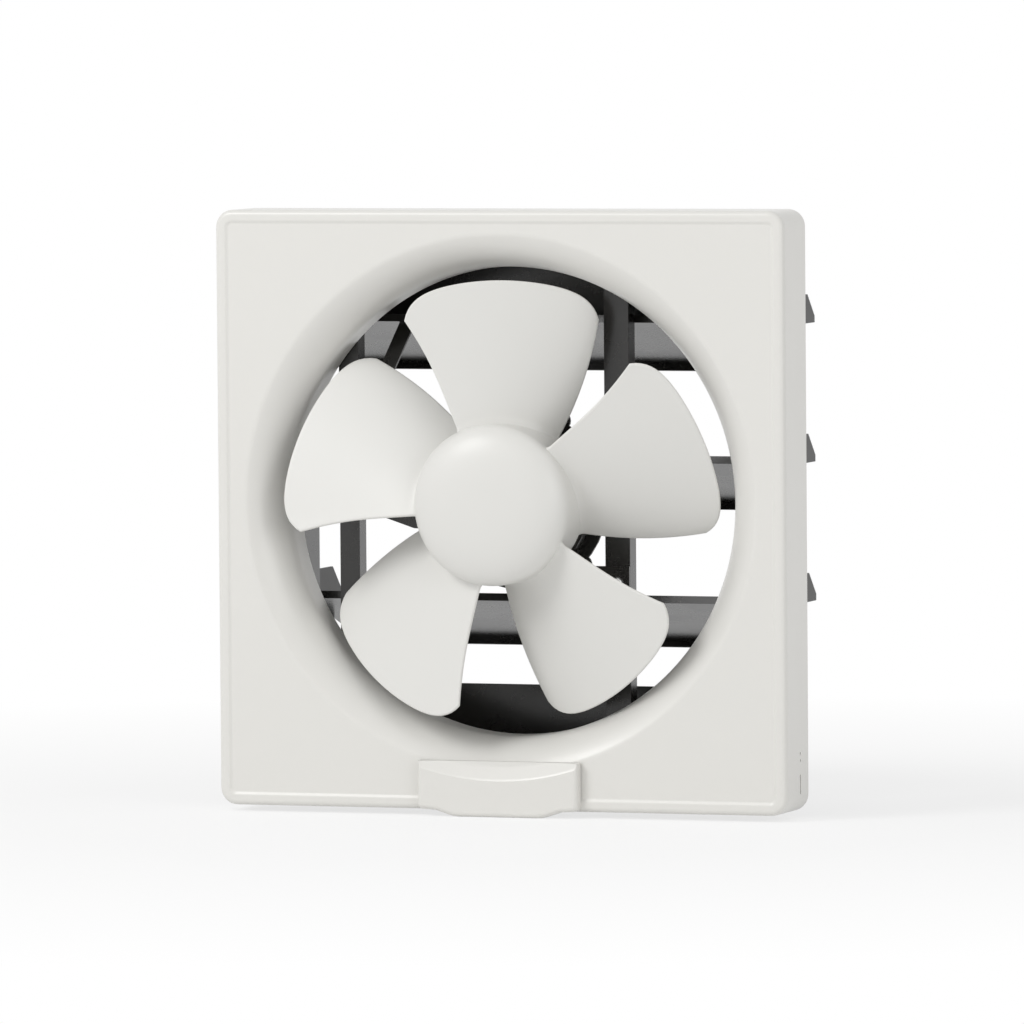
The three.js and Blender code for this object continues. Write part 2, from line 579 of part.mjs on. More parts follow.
add("strut_left", strut(LEFT_STRUT, strutScrews[0], strutEnds[0]), blackSheet);
add("strut_right", strut(RIGHT_STRUT, strutScrews[1], strutEnds[1]), blackSheet);

// ---- rear frame ------------------------------------------------------------------------------------
// Countersunk screw from the wall side of the flange into a post of the panel; also cut as its own seat.
function flushScrew([x, z], room) {
  const [head] = SCREW_HEAD;
  const shank = SCREW_RADIUS + room;
  return turned([
    [0, flangeFront - 12 - room], [shank, flangeFront - 12 - room], [shank, flangeFront],
    [head + room, wall], [0, wall],
  ], 12).translate(x, 0, z);
}

function rearFrame() {
  const inner = frameInner;
  const drop = PANEL_DROP;
  const tray = block(-FRAME_HALF, FRAME_HALF, flangeFront, FRAME_REAR, -FRAME_HALF, FRAME_HALF);
  const flange = block(-FLANGE_HALF, FLANGE_HALF, flangeFront, wall, -FLANGE_HALF - drop, FLANGE_HALF - drop);
  const open = block(-inner, inner, flangeFront - 1, FRAME_REAR + 1, -inner, inner);
  const bite = inner + 0.5;
  const header = block(-bite, bite, FRAME_REAR - FRAME_WALL, FRAME_REAR, HEADER_BOTTOM, bite);
  const sill = block(-bite, bite, SILL_FRONT, SILL_FRONT + FRAME_WALL, -bite, SILL_TOP);
  const seats = posts.map((place) => flushScrew(place, FIT));
  const wallHoles = [-1, 1].flatMap((s) => [
    rodY(WALL_HOLE, flangeFront - 1, wall + 1, s * WALL_HOLE_AT, -drop),
    rodY(WALL_HOLE, flangeFront - 1, wall + 1, 0, s * WALL_HOLE_AT - drop),
  ]);
  const outside = FRAME_HALF + 1;
  const axleHoles = pivots.map((z) => rodX(AXLE_RADIUS + RUNNING, -outside, outside, PIVOT_Y, z));
  const footHoles = strutEnds.map(([x, y]) => rodZ(SCREW_RADIUS + FIT, -outside, outside, x, y, 12));
  const clampHole = rodZ(SCREW_RADIUS + FIT, -outside, -inner + 1, ...clampScrew, 12);
  return cut(cut(join(tray, flange), open).add(join(header)).add(join(sill)),
    ...seats, ...wallHoles, ...axleHoles, ...footHoles, clampHole);
}
add("rear_frame", rearFrame(), blackSheet);

// ---- screws ----------------------------------------------------------------------------------------
// Pan-head screw drawn along Y, head towards -Y and seated at the origin, with a cross recess.
function panScrew(length) {
  const [head, height] = SCREW_HEAD;
  const recess = [[0.45, 2.4], [2.4, 0.45]].map(([dx, dz]) =>
    block(-dx, dx, -height - 1, -height / 2, -dz, dz));
  return cut(join(rodY(head, -height, 0, 0, 0, 16), rodY(SCREW_RADIUS, -0.5, length, 0, 0, 12)), ...recess);
}

posts.forEach(([x, z], i) => {
  const bit = [[0.45, 2.2], [2.2, 0.45]].map(([dx, dz]) =>
    block(x - dx, x + dx, wall - 0.8, wall + 1, z - dz, z + dz));
  add(`panel_screw_${i + 1}`, cut(join(flushScrew([x, z], 0)), ...bit), steel);
});
lugs.forEach(([x, z], i) => {
  add(`motor_screw_${i + 1}`, panScrew(6).mirror([0, 1, 0]).translate([x, STRUT_FRONT, z]), steel);
});
strutScrews.forEach(([x, z], i) => {
  add(`bracket_screw_${i + 1}`, panScrew(6).translate([x, bracketFront, z]), steel);
});
strutEnds.forEach(([x, y], i) => {
  const seat = frameInner - STRUT_SHEET;
  add(`foot_screw_${2 * i + 1}`, panScrew(5).rotate([90, 0, 0]).translate([x, y, seat]), steel);
  add(`foot_screw_${2 * i + 2}`, panScrew(5).rotate([-90, 0, 0]).translate([x, y, -seat]), steel);
});

// ---- shutter ---------------------------------------------------------------------------------------
// A slat is drawn flat about its pivot, y outwards along the sheet, and tilted to its open position.
const linkAngle = Math.atan2(LINK_PIN[1], LINK_PIN[0]) + rad(SLAT_REST);
const linkReach = Math.hypot(...LINK_PIN);
const linkLug = [linkReach * Math.cos(linkAngle), linkReach * Math.sin(linkAngle)];

function slat(withArm) {
  const half = SLAT_SHEET / 2;
  const section = outline([
    [-SLAT_INNER, -half], [SLAT_OUTER - SLAT_SHEET, -half], [SLAT_OUTER - SLAT_SHEET, -OUTER_LIP],
    [SLAT_OUTER, -OUTER_LIP], [SLAT_OUTER, half], [-SLAT_INNER + SLAT_SHEET, half],
    [-SLAT_INNER + SLAT_SHEET, INNER_LIP], [-SLAT_INNER, INNER_LIP],
  ]);
  const inside = SLAT_HALF - END_PLATE;
  const bore = AXLE_RADIUS + FIT;
  const solids = [
    plateYZ(section, -SLAT_HALF, SLAT_HALF),
    rodX(END_RADIUS, -SLAT_HALF, -inside, 0, 0),
    rodX(END_RADIUS, inside, SLAT_HALF, 0, 0),
    rodX(4, inside, SLAT_HALF, ...linkLug),
    block(inside, SLAT_HALF, 0, linkReach, -4, 4).rotateX(linkAngle),
  ];
  const holes = [
    rodX(bore, -SLAT_HALF - 1, -inside + 1, 0, 0),
    rodX(bore, inside - 1, SLAT_HALF + 1, 0, 0),
    rodX(LINK_PIN_RADIUS + FIT, inside - 1, SLAT_HALF + 1, ...linkLug, 12),
  ];
  if (withArm) {
    holes.push(rodZ(rivetRadius + FIT, -2, 2, ARM_X, armRivetY, 12));
  }
  return cut(join(...solids), ...holes).rotate([-SLAT_REST, 0, 0]);
}

// Cheek with its axle, which runs in the frame's side wall and is pressed into the slat's end plate.
function cheek(side) {
  const [tipY, tipLow, tipHigh] = HORN_TIP;
  const [topFar, topNear, topZ] = HORN_TOP;
  const horn = outline([
    [2, -END_RADIUS + 0.6], [HORN_FOOT, tipLow], [tipY, tipLow], [tipY, tipHigh],
    [topFar, topZ], [topNear, topZ], [-7, 3],
  ]);
  const body = join(
    plateYZ(horn, CHEEK_X, CHEEK_X + CHEEK_SHEET),
    rodX(END_RADIUS, CHEEK_X, CHEEK_X + CHEEK_SHEET, 0, 0),
    rodX(AXLE_RADIUS, SLAT_HALF - END_PLATE, CHEEK_X + 0.5, 0, 0),
    rodX(SHOULDER_RADIUS, SLAT_HALF, frameInner - RUNNING, 0, 0));
  return side > 0 ? body : body.mirror([1, 0, 0]);
}

function linkPin() {
  const [head, height] = LINK_PIN_HEAD;
  const outer = LINK_X + LINK_SHEET + RUNNING;
  const inner = SLAT_HALF - END_PLATE;
  return join(
    rodX(LINK_PIN_RADIUS, inner - 0.5, outer + 0.5, ...LINK_PIN, 12),
    rodX(head, inner - height, inner, ...LINK_PIN, 12),
    rodX(head, outer, outer + height, ...LINK_PIN, 12));
}

// Arm below the top slat, by which the shutter is pulled open and shut.
function operatingArm() {
  const under = -SLAT_SHEET / 2;
  const round = ARM_WIDTH / 2;
  const root = new THREE.Vector3(ARM_X, ARM_PAD[0] + ARM_SHEET / 2, under - ARM_SHEET / 2);
  const tip = new THREE.Vector3(ARM_X + ARM_TIP[0], ARM_TIP[1], ARM_TIP[2]);
  const along = tip.clone().sub(root).normalize();
  const sideways = new THREE.Vector3(1, 0, 0).addScaledVector(along, -along.x).normalize();
  const through = new THREE.Vector3().crossVectors(along, sideways);
  const straight = tip.distanceTo(root) - round;
  const strip = new THREE.Shape();
  strip.moveTo(0, -round);
  strip.lineTo(straight, -round);
  strip.absarc(straight, 0, round, -Math.PI / 2, Math.PI / 2, false);
  strip.lineTo(0, round);
  const strap = thicken(strip, ARM_SHEET).translate(0, 0, -ARM_SHEET / 2);
  strap.applyMatrix4(new THREE.Matrix4().makeBasis(along, sideways, through).setPosition(root));
  const pad = block(ARM_X - round, ARM_X + round, ...ARM_PAD, under - ARM_SHEET, under);
  const above = block(-SLAT_HALF, SLAT_HALF, ARM_TIP[1] - ARM_WIDTH, 0, under, under + 2 * ARM_WIDTH);
  const rivet = rodZ(rivetRadius + FIT, under - ARM_SHEET - 1, under + 1, ARM_X, armRivetY, 12);
  return cut(join(pad, strap), above, rivet).rotate([-SLAT_REST, 0, 0]);
}

function armRivet() {
  const top = SLAT_SHEET / 2;
  const under = -top - ARM_SHEET;
  return join(
    rodZ(rivetRadius, under - 0.5, top + 0.5, ARM_X, armRivetY, 12),
    rodZ(rivetRadius * 2, top, top + 1, ARM_X, armRivetY, 12),
    rodZ(rivetRadius * 2, under - 1, under, ARM_X, armRivetY, 12)).rotate([-SLAT_REST, 0, 0]);
}

pivots.forEach((z, i) => {
  const leaf = new THREE.Group();
  leaf.position.set(0, PIVOT_Y, z);
  fan.add(leaf);
  add(`slat_${i + 1}`, slat(i === 0), blackSheet, leaf);
  add(`slat_${i + 1}_cheek_right`, cheek(1), blackSheet, leaf);
  add(`slat_${i + 1}_cheek_left`, cheek(-1), blackSheet, leaf);
  add(`slat_${i + 1}_link_pin`, linkPin(), steel, leaf);
  if (i === 0) {
    add("operating_arm", operatingArm(), blackSheet, leaf);
    add("arm_rivet", armRivet(), steel, leaf);
  }
});

// Flat bar that ties the slats together.
function linkBar() {
  const y = PIVOT_Y + LINK_PIN[0];
  const half = LINK_WIDTH / 2;
  const top = pivots[0] + LINK_PIN[1] + half;
  const bottom = pivots[SLAT_COUNT - 1] + LINK_PIN[1] - half;
  const holes = pivots.map((z) =>
    rodX(LINK_PIN_RADIUS + RUNNING, LINK_X - 1, LINK_X + LINK_SHEET + 1, y, z + LINK_PIN[1], 12));
  return cut(join(block(LINK_X, LINK_X + LINK_SHEET, y - half, y + half, bottom, top)), ...holes);
}
add("link_bar", linkBar(), blackSheet);

// ---- electrical pieces in the lower corners of the frame ---------------------------------------------
const ground = -frameInner;
const boxLeft = BOX_RIGHT - BOX_SIZE[0];
const boxRear = BOX_Y + BOX_SIZE[1];
const boxTop = ground + BOX_SIZE[2];
const entryY = (BOX_Y + boxRear) / 2;
const entryZ = ground + GLAND_LEVEL;

function terminalBox() {
  const hollow = block(boxLeft + BOX_WALL, BOX_RIGHT - BOX_WALL, BOX_Y + BOX_WALL, boxRear - BOX_WALL,
    ground + BOX_WALL, boxTop + 1);
  const entry = rodX(GLAND_NECK + FIT, boxLeft - 1, boxLeft + BOX_WALL + 1, entryY, entryZ);
  return cut(join(block(boxLeft, BOX_RIGHT, BOX_Y, boxRear, ground, boxTop)), hollow, entry);
}
add("terminal_box", terminalBox(), blackPlastic);

function terminalCover() {
  const inset = BOX_WALL + FIT;
  return join(
    block(boxLeft, BOX_RIGHT, BOX_Y, boxRear, boxTop, boxTop + LID_THICK),
    block(boxLeft + inset, BOX_RIGHT - inset, BOX_Y + inset, boxRear - inset,
      boxTop - LID_DEPTH, boxTop + 0.5));
}
add("terminal_cover", terminalCover(), greyPlastic);

function cableGland() {
  const neck = rodX(GLAND_NECK, boxLeft - 1, boxLeft + BOX_WALL + 2, entryY, entryZ);
  const collar = rodX(GLAND_RADIUS, boxLeft - GLAND_LENGTH, boxLeft, entryY, entryZ, 6);
  return cut(join(neck, collar),
    rodX(GLAND_BORE, boxLeft - GLAND_LENGTH - 1, boxLeft + BOX_WALL + 3, entryY, entryZ));
}
add("cable_gland", cableGland(), blackPlastic);

const capacitorZ = ground + CLAMP_THICK + CAPACITOR_RADIUS;
const capacitor = rodY(CAPACITOR_RADIUS, BOX_Y, BOX_Y + CAPACITOR_LENGTH, CAPACITOR_X, capacitorZ, 32);
add("capacitor", join(capacitor), greyPlastic);

function capacitorClamp() {
  const y0 = clampScrew[1] - CLAMP_WIDTH / 2;
  const y1 = y0 + CLAMP_WIDTH;
  const bore = CAPACITOR_RADIUS + FIT;
  const foot = block(CAPACITOR_X, clampScrew[0] + 6, y0, y1, ground, ground + CLAMP_THICK);
  const saddle = rodY(bore + CLAMP_THICK - FIT, y0, y1, CAPACITOR_X, capacitorZ, 32);
  return cut(join(saddle, foot),
    rodY(bore, y0 - 1, y1 + 1, CAPACITOR_X, capacitorZ, 32),
    rodZ(SCREW_RADIUS + LOOSE, ground - 1, ground + CLAMP_THICK + 1, ...clampScrew, 12));
}
add("capacitor_clamp", capacitorClamp(), steel);
add("clamp_screw", panScrew(5).rotate([-90, 0, 0]).translate([...clampScrew, ground + CLAMP_THICK]), steel);

// ---- the origin lies where the fan axis meets the wall -------------------------------------------------
fan.position.set(0, -wall, 0);
const group = new THREE.Group();
group.add(fan);
group.updateMatrixWorld(true);

export default group;
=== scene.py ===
"""Shutter exhaust fan for a 300 mm opening: its surfaces, its floor, its light and its camera.

Shapes are drawn in millimetres and finished in metres. +Z is up, the room is at -Y, the fan turns
about the Y axis, and the wall is the plane y = 0.
"""

import json
import math

import bmesh
import bpy
from mathutils import Matrix, Vector

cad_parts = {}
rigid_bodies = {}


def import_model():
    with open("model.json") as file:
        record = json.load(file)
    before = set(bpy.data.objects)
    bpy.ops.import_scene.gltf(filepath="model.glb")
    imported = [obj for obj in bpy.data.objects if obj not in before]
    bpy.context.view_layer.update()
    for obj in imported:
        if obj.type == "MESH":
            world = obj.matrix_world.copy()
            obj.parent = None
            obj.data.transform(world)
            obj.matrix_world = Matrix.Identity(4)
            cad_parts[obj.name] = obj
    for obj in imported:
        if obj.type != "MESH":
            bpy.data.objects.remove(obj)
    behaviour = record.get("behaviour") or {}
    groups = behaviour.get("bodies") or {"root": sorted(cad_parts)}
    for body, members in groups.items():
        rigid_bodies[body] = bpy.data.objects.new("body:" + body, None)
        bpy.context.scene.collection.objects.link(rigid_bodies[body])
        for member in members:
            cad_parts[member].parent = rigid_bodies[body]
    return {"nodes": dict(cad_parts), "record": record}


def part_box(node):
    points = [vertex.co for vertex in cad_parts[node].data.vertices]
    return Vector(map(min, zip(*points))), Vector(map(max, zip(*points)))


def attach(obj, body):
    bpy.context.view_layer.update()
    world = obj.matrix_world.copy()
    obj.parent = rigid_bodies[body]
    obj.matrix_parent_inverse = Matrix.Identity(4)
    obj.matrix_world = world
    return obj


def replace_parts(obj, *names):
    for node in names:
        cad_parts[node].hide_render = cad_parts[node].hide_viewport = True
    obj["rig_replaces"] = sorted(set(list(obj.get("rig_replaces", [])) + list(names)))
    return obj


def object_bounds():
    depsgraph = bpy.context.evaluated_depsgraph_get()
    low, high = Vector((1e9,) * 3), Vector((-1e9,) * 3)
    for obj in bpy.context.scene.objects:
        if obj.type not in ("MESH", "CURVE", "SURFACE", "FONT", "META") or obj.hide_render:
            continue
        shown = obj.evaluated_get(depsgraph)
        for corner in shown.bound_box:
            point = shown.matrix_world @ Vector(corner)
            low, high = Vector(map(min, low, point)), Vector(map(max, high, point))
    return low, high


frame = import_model()
cad_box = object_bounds()

# ---- sizes, in millimetres ------------------------------------------------------------------------
MM = 0.001
ROUND_STEPS = 192           # sides of the large turned shapes
SMALL_STEPS = 32            # sides of screws and pins

PANEL_CORNER = 10
PANEL_EDGE = 3.2            # radius of the front edge
PANEL_WALL = 2.5
BORDER_WIDTH = 6.2
BORDER_STEP = 0.9           # how far the border stands above the face
BORDER_SLOPE = 1.4          # width of the slope between the two
BORDER_SOFT = 0.6
BELL_RADIUS = 154.4
THROAT_RADIUS = 135
BELL_LENGTH = 26
BELL_START = math.radians(25)   # how far round its curve the bell begins
MOUTH_EASE = 1.6            # reach of the soft edge between face and bell
POST_AT = 156               # the panel screws' posts, off the middle both ways
POST_RADIUS = 5
POST_THREAD = 13
SCREW_BORE = 2.05
VENT_Y = -15
VENT_RADIUS = 0.9
VENT_HOLES = (-146, -142)
VENT_SLIT = (-165, -154)
CORNER_STEPS = 11

CUP_WALL = 1.2
CUP_CORNER = 0.6            # the outline drops this far from the side to the panel's lower edge
CUP_SHOULDER = 38
CUP_SPOUT = 27
CUP_EDGE = 2.8
CUP_ROUNDS = (0, 3, 5, 24)  # radii of the outline at the top, the side, the shoulder and the spout
SCOOP_OUTER = 6             # the scoop ends this far outside the bell's radius
SCOOP_INNER = 4             # and reaches its depth this far inside it
SCOOP_DEPTH = 2.6
SCOOP_SOFT = 6
HOOK_X = 30
HOOK_Z = -158
HOOK_TRAVEL = 8
HOOK_SEAT = 0.05            # room between a hook's head and the back of the face
NECK = (4, 3.6)             # width and height of a hook's neck
HEAD = (7.6, 3.6, 1.6)      # width, height and thickness of its head
ROOM = 0.4                  # round a hook in its keyhole

HUB_RADIUS = 46.3
HUB_WALL = 2.6
HUB_FRONT = -53
HUB_REAR = -23
BOSS_RADIUS = 9
FAN_RADIUS = 128
BLADE_COUNT = 5
BLADE_THICK = 2.3
BLADE_RIM = 0.42            # radius of the blade's rim, as a share of its thickness
BLADE_FILLET = 5
BLADE_FILLET_RISE = 0.6     # the fillet's height, as a share of its reach
BLADE_MIDDLE = (-2.5, 6.5)  # y of the blade's middle line from the hub's: at the root, and its growth
BLADE_PITCH = (24.8, 22)    # how far the blade falls back with a radian, in the same way
BLADE_CAMBER = (2.4, 2.2)
BLADE_LEAD = (26, 1.5)      # degrees from the middle line to the leading edge, and its dip halfway out
BLADE_TRAIL = (41, 14.5)    # degrees to the trailing edge at the root, and how many it loses to the tip
BLADE_TRAIL_POWER = 0.8
TIP_CORNER = 11             # how far the corners of the tip draw in
TIP_POWER = 7
SPINNER_WALL = 2.2
SPINNER_SHOULDER = 0.72     # power that squares the shoulder of the cap

MOTOR_RADIUS = 46
MOTOR_WALL = 1.5
MOTOR_SPLIT = 1             # y of the joint between the shells
MOTOR_CORNER = 5
BEAD = (15, 17, 34, 36)     # radii at which the bead in a shell's end bends
BEAD_DEPTH = 0.9
SHAFT_RADIUS = 4
SHAFT_FIT = 0.05
SHAFT_ROOM = 1.2
BEARING_RADIUS = 9.5
BEARING_WIDTH = 6
BEARING_FIT = 0.05
SEAT_WALL = 2
SEAT_FOOT = 1.2
LUG_RADIUS = 5.5
LUG_THICK = 3
LUG_REACH = (43, 52)        # radii between which a lug's arm runs
LUG_OVERLAP = 0.8

SCREW_HEAD = (4, 2.2)       # radius and height
SCREW_SHANK = 2
SCREW_TIP = (1.5, 0.6)      # radius and length
CROSS_ARM = (2.2, 0.42)     # half the length and width of an arm of the recess
CROSS_DEPTH = 0.55          # as a share of the head's height

# ---- light and floor, in metres -------------------------------------------------------------------
WORLD_LIGHT = 0.55
FLOOR_REACH = 12
FLOOR_GLOW = 0.72           # how much of the floor near the fan is plain white
FLOOR_NEAR = 0.3
FLOOR_FAR = 0.9

# ---- camera, fitted to the panel's corners --------------------------------------------------------
CAMERA_TURN = (19.1, 3.2, -0.44)    # azimuth, elevation and roll, in degrees
CAMERA_TARGET = (0, -21, 0)         # in millimetres
CAMERA_DISTANCE = 6                 # in metres
PHOTO_PIXELS = 1024
FOCAL_PIXELS = 10452
PHOTO_CENTRE = (509.8, 502.1)       # pixel at which the lens points
SENSOR = 36


def span(node):
    """Lowest and highest corner of a node of the frame, in millimetres."""
    low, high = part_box(node)
    return low / MM, high / MM


# ---- material maths -------------------------------------------------------------------------------
class Value:
    """A socket on which arithmetic adds Math nodes."""

    def __init__(self, look, socket):
        self.look = look
        self.socket = socket

    def math(self, operation, *inputs):
        return self.look.node("ShaderNodeMath", {"operation": operation}, dict(enumerate(inputs)))

    def __add__(self, other):
        return self.math("ADD", self, other)

    def __sub__(self, other):
        return self.math("SUBTRACT", self, other)

    def __rsub__(self, other):
        return self.math("SUBTRACT", other, self)

    def __mul__(self, other):
        return self.math("MULTIPLY", self, other)

    def __truediv__(self, other):
        return self.math("DIVIDE", self, other)

    def __pow__(self, other):
        return self.math("POWER", self, other)

    def sine(self):
        return self.math("SINE", self)

    def limited(self):
        return self.math("MAXIMUM", self.math("MINIMUM", self, 1.0), 0.0)

    __radd__ = __add__
    __rmul__ = __mul__


class Look:
    """The node tree of one finish."""

    def __init__(self, name, metallic=0.0, coat=0.0):
        self.material = bpy.data.materials.new(name)
        self.material.use_nodes = True
        self.tree = self.material.node_tree
        self.shader = self.tree.nodes["Principled BSDF"]
        self.set("Metallic", metallic)
        self.set("Coat Weight", coat)
        self.position = self.node("ShaderNodeTexCoord", output="Object")

    def node(self, kind, settings=None, inputs=None, output=0):
        """A node of any kind: its settings come first, then what its sockets hold."""
        made = self.tree.nodes.new(kind)
        for key, value in (settings or {}).items():
            setattr(made, key, value)
        for key, value in (inputs or {}).items():
            self.feed(made.inputs[key], value)
        return Value(self, made.outputs[output])

    def feed(self, socket, value):
        if isinstance(value, Value):
            self.tree.links.new(value.socket, socket)
        elif isinstance(value, (tuple, list)) and len(value) == 3 and socket.type == "RGBA":
            socket.default_value = (*value, 1)
        else:
            socket.default_value = value

    def set(self, name, value):
        self.feed(self.shader.inputs[name], value)

    def noise(self, scale, detail=3.0, roughness=0.55, stretch=(1, 1, 1)):
        """Noise with `scale` waves to the metre, stretched along the axes."""
        place = self.node("ShaderNodeMapping", {}, {"Vector": self.position, "Scale": stretch})
        return self.node("ShaderNodeTexNoise", {}, {
            "Vector": place, "Scale": scale, "Detail": detail, "Roughness": roughness})

    def mix(self, share, first, second):
        return self.node("ShaderNodeMix", {"data_type": "RGBA"}, {0: share, 6: first, 7: second}, 2)

    def height(self, *layers):
        """Bump layers as (height, distance in metres, strength), the coarse one first."""
        normal = None
        for value, distance, strength in layers:
            inputs = {"Height": value, "Distance": distance, "Strength": strength}
            if normal:
                inputs["Normal"] = normal
            normal = self.node("ShaderNodeBump", {}, inputs)
        self.set("Normal", normal)

    def axes(self):
        split = self.node("ShaderNodeSeparateXYZ", {}, {0: self.position})
        return [Value(self, split.socket.node.outputs[k]) for k in range(3)]


def moulded(name, colour, shade, rough, coat, flow=(1, 1, 1)):
    """Glossy moulded plastic with faint flow marks, sink marks and a fine skin."""
    look = Look(name, coat=coat)
    look.set("Coat Roughness", 0.22)
    flow_marks = look.noise(14, 4, 0.6, flow)
    cloud = look.noise(5, 2)
    skin = look.noise(1400, 2)
    look.set("Base Color", look.mix((flow_marks * 0.6 + cloud * 0.6 - 0.2).limited(), colour, shade))
    look.set("Roughness", rough + 0.09 * (look.noise(45, 4) - 0.5))
    look.height((look.noise(22, 2), 0.0004, 0.04), (skin, 0.00003, 0.25))
    return look


def painted(name, colour, dust, rough):
    """Baked paint on sheet steel, with orange peel and a little dust on what faces up."""
    look = Look(name, coat=0.25)
    look.set("Coat Roughness", 0.18)
    facing = look.node("ShaderNodeNewGeometry", output="Normal")
    up = look.node("ShaderNodeSeparateXYZ", {}, {0: facing}, 2)
    settled = (up * 1.4 - 0.7).limited() * look.noise(60, 5, 0.7) * 0.5
    look.set("Base Color", look.mix(settled.limited(), colour, dust))
    look.set("Roughness", rough + 0.16 * (look.noise(30, 5, 0.65) - 0.5) + settled * 0.3)
    look.height((look.noise(9, 2), 0.0006, 0.15), (look.noise(700, 3), 0.00006, 0.3))
    return look


def plated(name, colour, tint, rough):
    """Zinc plating: small crystals in the colour and faint scratches in the gloss."""
    look = Look(name, metallic=1.0)
    crystals = look.node("ShaderNodeTexVoronoi", {"feature": "F1"}, {"Vector": look.position, "Scale": 700.0})
    look.set("Base Color", look.mix(crystals * 0.7, colour, tint))
    look.set("Roughness", rough + 0.2 * (look.noise(260, 3, 0.6, (1, 9, 1)) - 0.5))
    look.height((look.noise(900, 3), 0.00004, 0.4))
    return look


def laminated(name, colour, gap, pitch):
    """Stacked core sheets, seen as fine rings round the fan axis."""
    look = Look(name, metallic=0.8)
    _, y, _ = look.axes()
    line = ((y * (2 * math.pi / pitch)).sine() * 0.5 + 0.5) ** 3
    rust = look.noise(80, 5, 0.7)
    look.set("Base Color", look.mix(line * 0.7, colour, gap))
    look.set("Roughness", 0.42 + 0.25 * rust)
    look.height((line, 0.0002, 0.6))
    return look


def wound(name, colour, dark, pitch):
    """Enamelled wire laid in rings about the fan axis."""
    look = Look(name, metallic=0.85, coat=0.6)
    x, y, z = look.axes()
    ring = (x * x + z * z) ** 0.5
    turns = ((ring + y) * (2 * math.pi / pitch)).sine() * 0.5 + 0.5
    look.set("Base Color", look.mix(turns * 0.8, colour, dark))
    look.set("Roughness", 0.34 + 0.12 * look.noise(220, 3))
    look.height((turns, 0.0004, 0.8))
    return look


WHITE = (0.80, 0.79, 0.755)
looks = {
    "white_plastic": moulded("white gloss plastic", WHITE, (0.785, 0.774, 0.737), 0.36, 0.2),
    "blade_plastic": moulded("blade plastic", (0.79, 0.785, 0.755), (0.77, 0.762, 0.73), 0.42, 0.1,
                             (1, 1, 0.35)),
    "black_sheet": painted("black baked paint", (0.017, 0.016, 0.0145), (0.07, 0.066, 0.058), 0.27),
    "steel": plated("zinc plated steel", (0.66, 0.66, 0.65), (0.5, 0.51, 0.52), 0.3),
    "core_steel": laminated("core steel", (0.30, 0.29, 0.28), (0.06, 0.055, 0.05), 0.0007),
    "copper_wire": wound("enamelled copper wire", (0.62, 0.26, 0.11), (0.2, 0.06, 0.02), 0.0011),
    "black_plastic": moulded("black moulded plastic", (0.02, 0.0195, 0.019), (0.03, 0.029, 0.027), 0.42, 0.0),
    "grey_plastic": moulded("grey moulded plastic", (0.30, 0.30, 0.29), (0.25, 0.25, 0.24), 0.4, 0.0),
}
slot_of = {part["node"]: part["material_slot"] for part in frame["record"]["subparts"]}
body_of = {node: body for body, nodes in frame["record"]["behaviour"]["bodies"].items() for node in nodes}


# ---- shape tools ----------------------------------------------------------------------------------
ALONG_Y = Matrix.Rotation(-math.pi / 2, 4, "X")


def rounded(points, radii, steps=6):
    """A closed outline of 2-D points with its corners turned into arcs; a radius of 0 keeps one sharp."""
    outline = []
    for i, (point, radius) in enumerate(zip(points, radii)):
        here = Vector((*point, 0))
        if radius == 0:
            outline.append(here)
            continue
        before = (Vector((*points[i - 1], 0)) - here).normalized()
        after = (Vector((*points[(i + 1) % len(points)], 0)) - here).normalized()
        half = before.angle(after) / 2
        middle = here + (before + after).normalized() * (radius / math.sin(half))
        start = (here + before * (radius / math.tan(half)) - middle).normalized()
        end = (here + after * (radius / math.tan(half)) - middle).normalized()
        outline += [middle + start.slerp(end, k / steps) * radius for k in range(steps + 1)]
    return [(p.x, p.y) for p in outline]


def clean(bm):
    """Merges what meets and points the faces outwards."""
    bmesh.ops.remove_doubles(bm, verts=bm.verts, dist=1e-4)
    bmesh.ops.recalc_face_normals(bm, faces=bm.faces)
    return bm


def add_mesh(bm, other):
    """Adds a second mesh to the first, unjoined."""
    mesh = bpy.data.meshes.new("added")
    other.to_mesh(mesh)
    other.free()
    bm.from_mesh(mesh)
    bpy.data.meshes.remove(mesh)


def turned(profile, steps=ROUND_STEPS, closed=True):
    """Solid turned about Z from (radius, height) points that close on themselves or end on the axis."""
    bm = bmesh.new()
    points = [bm.verts.new((radius, 0, height)) for radius, height in profile]
    pairs = list(zip(points, points[1:]))
    if closed:
        pairs.append((points[-1], points[0]))
    edges = [bm.edges.new(pair) for pair in pairs]
    bmesh.ops.spin(bm, geom=points + edges, cent=(0, 0, 0), axis=(0, 0, 1), angle=2 * math.pi,
                   steps=steps, use_merge=True)
    return bm


def fan_turned(profile, steps=ROUND_STEPS, closed=True):
    """The same about the fan axis, with heights along +Y."""
    bm = turned(profile, steps, closed)
    bm.transform(ALONG_Y)
    return clean(bm)


def rod(bm, radius, start, end, steps=SMALL_STEPS):
    """Adds a round bar from one point to another."""
    start, end = Vector(start), Vector(end)
    along = end - start
    place = Matrix.Translation((start + end) / 2) @ along.to_track_quat("Z", "Y").to_matrix().to_4x4()
    bmesh.ops.create_cone(bm, cap_ends=True, segments=steps, radius1=radius, radius2=radius,
                          depth=along.length, matrix=place)


def brick(bm, low, high):
    """Adds a block between two corners."""
    low, high = Vector(low), Vector(high)
    place = Matrix.Translation((low + high) / 2) @ Matrix.Diagonal((*(high - low), 1))
    bmesh.ops.create_cube(bm, size=1, matrix=place)


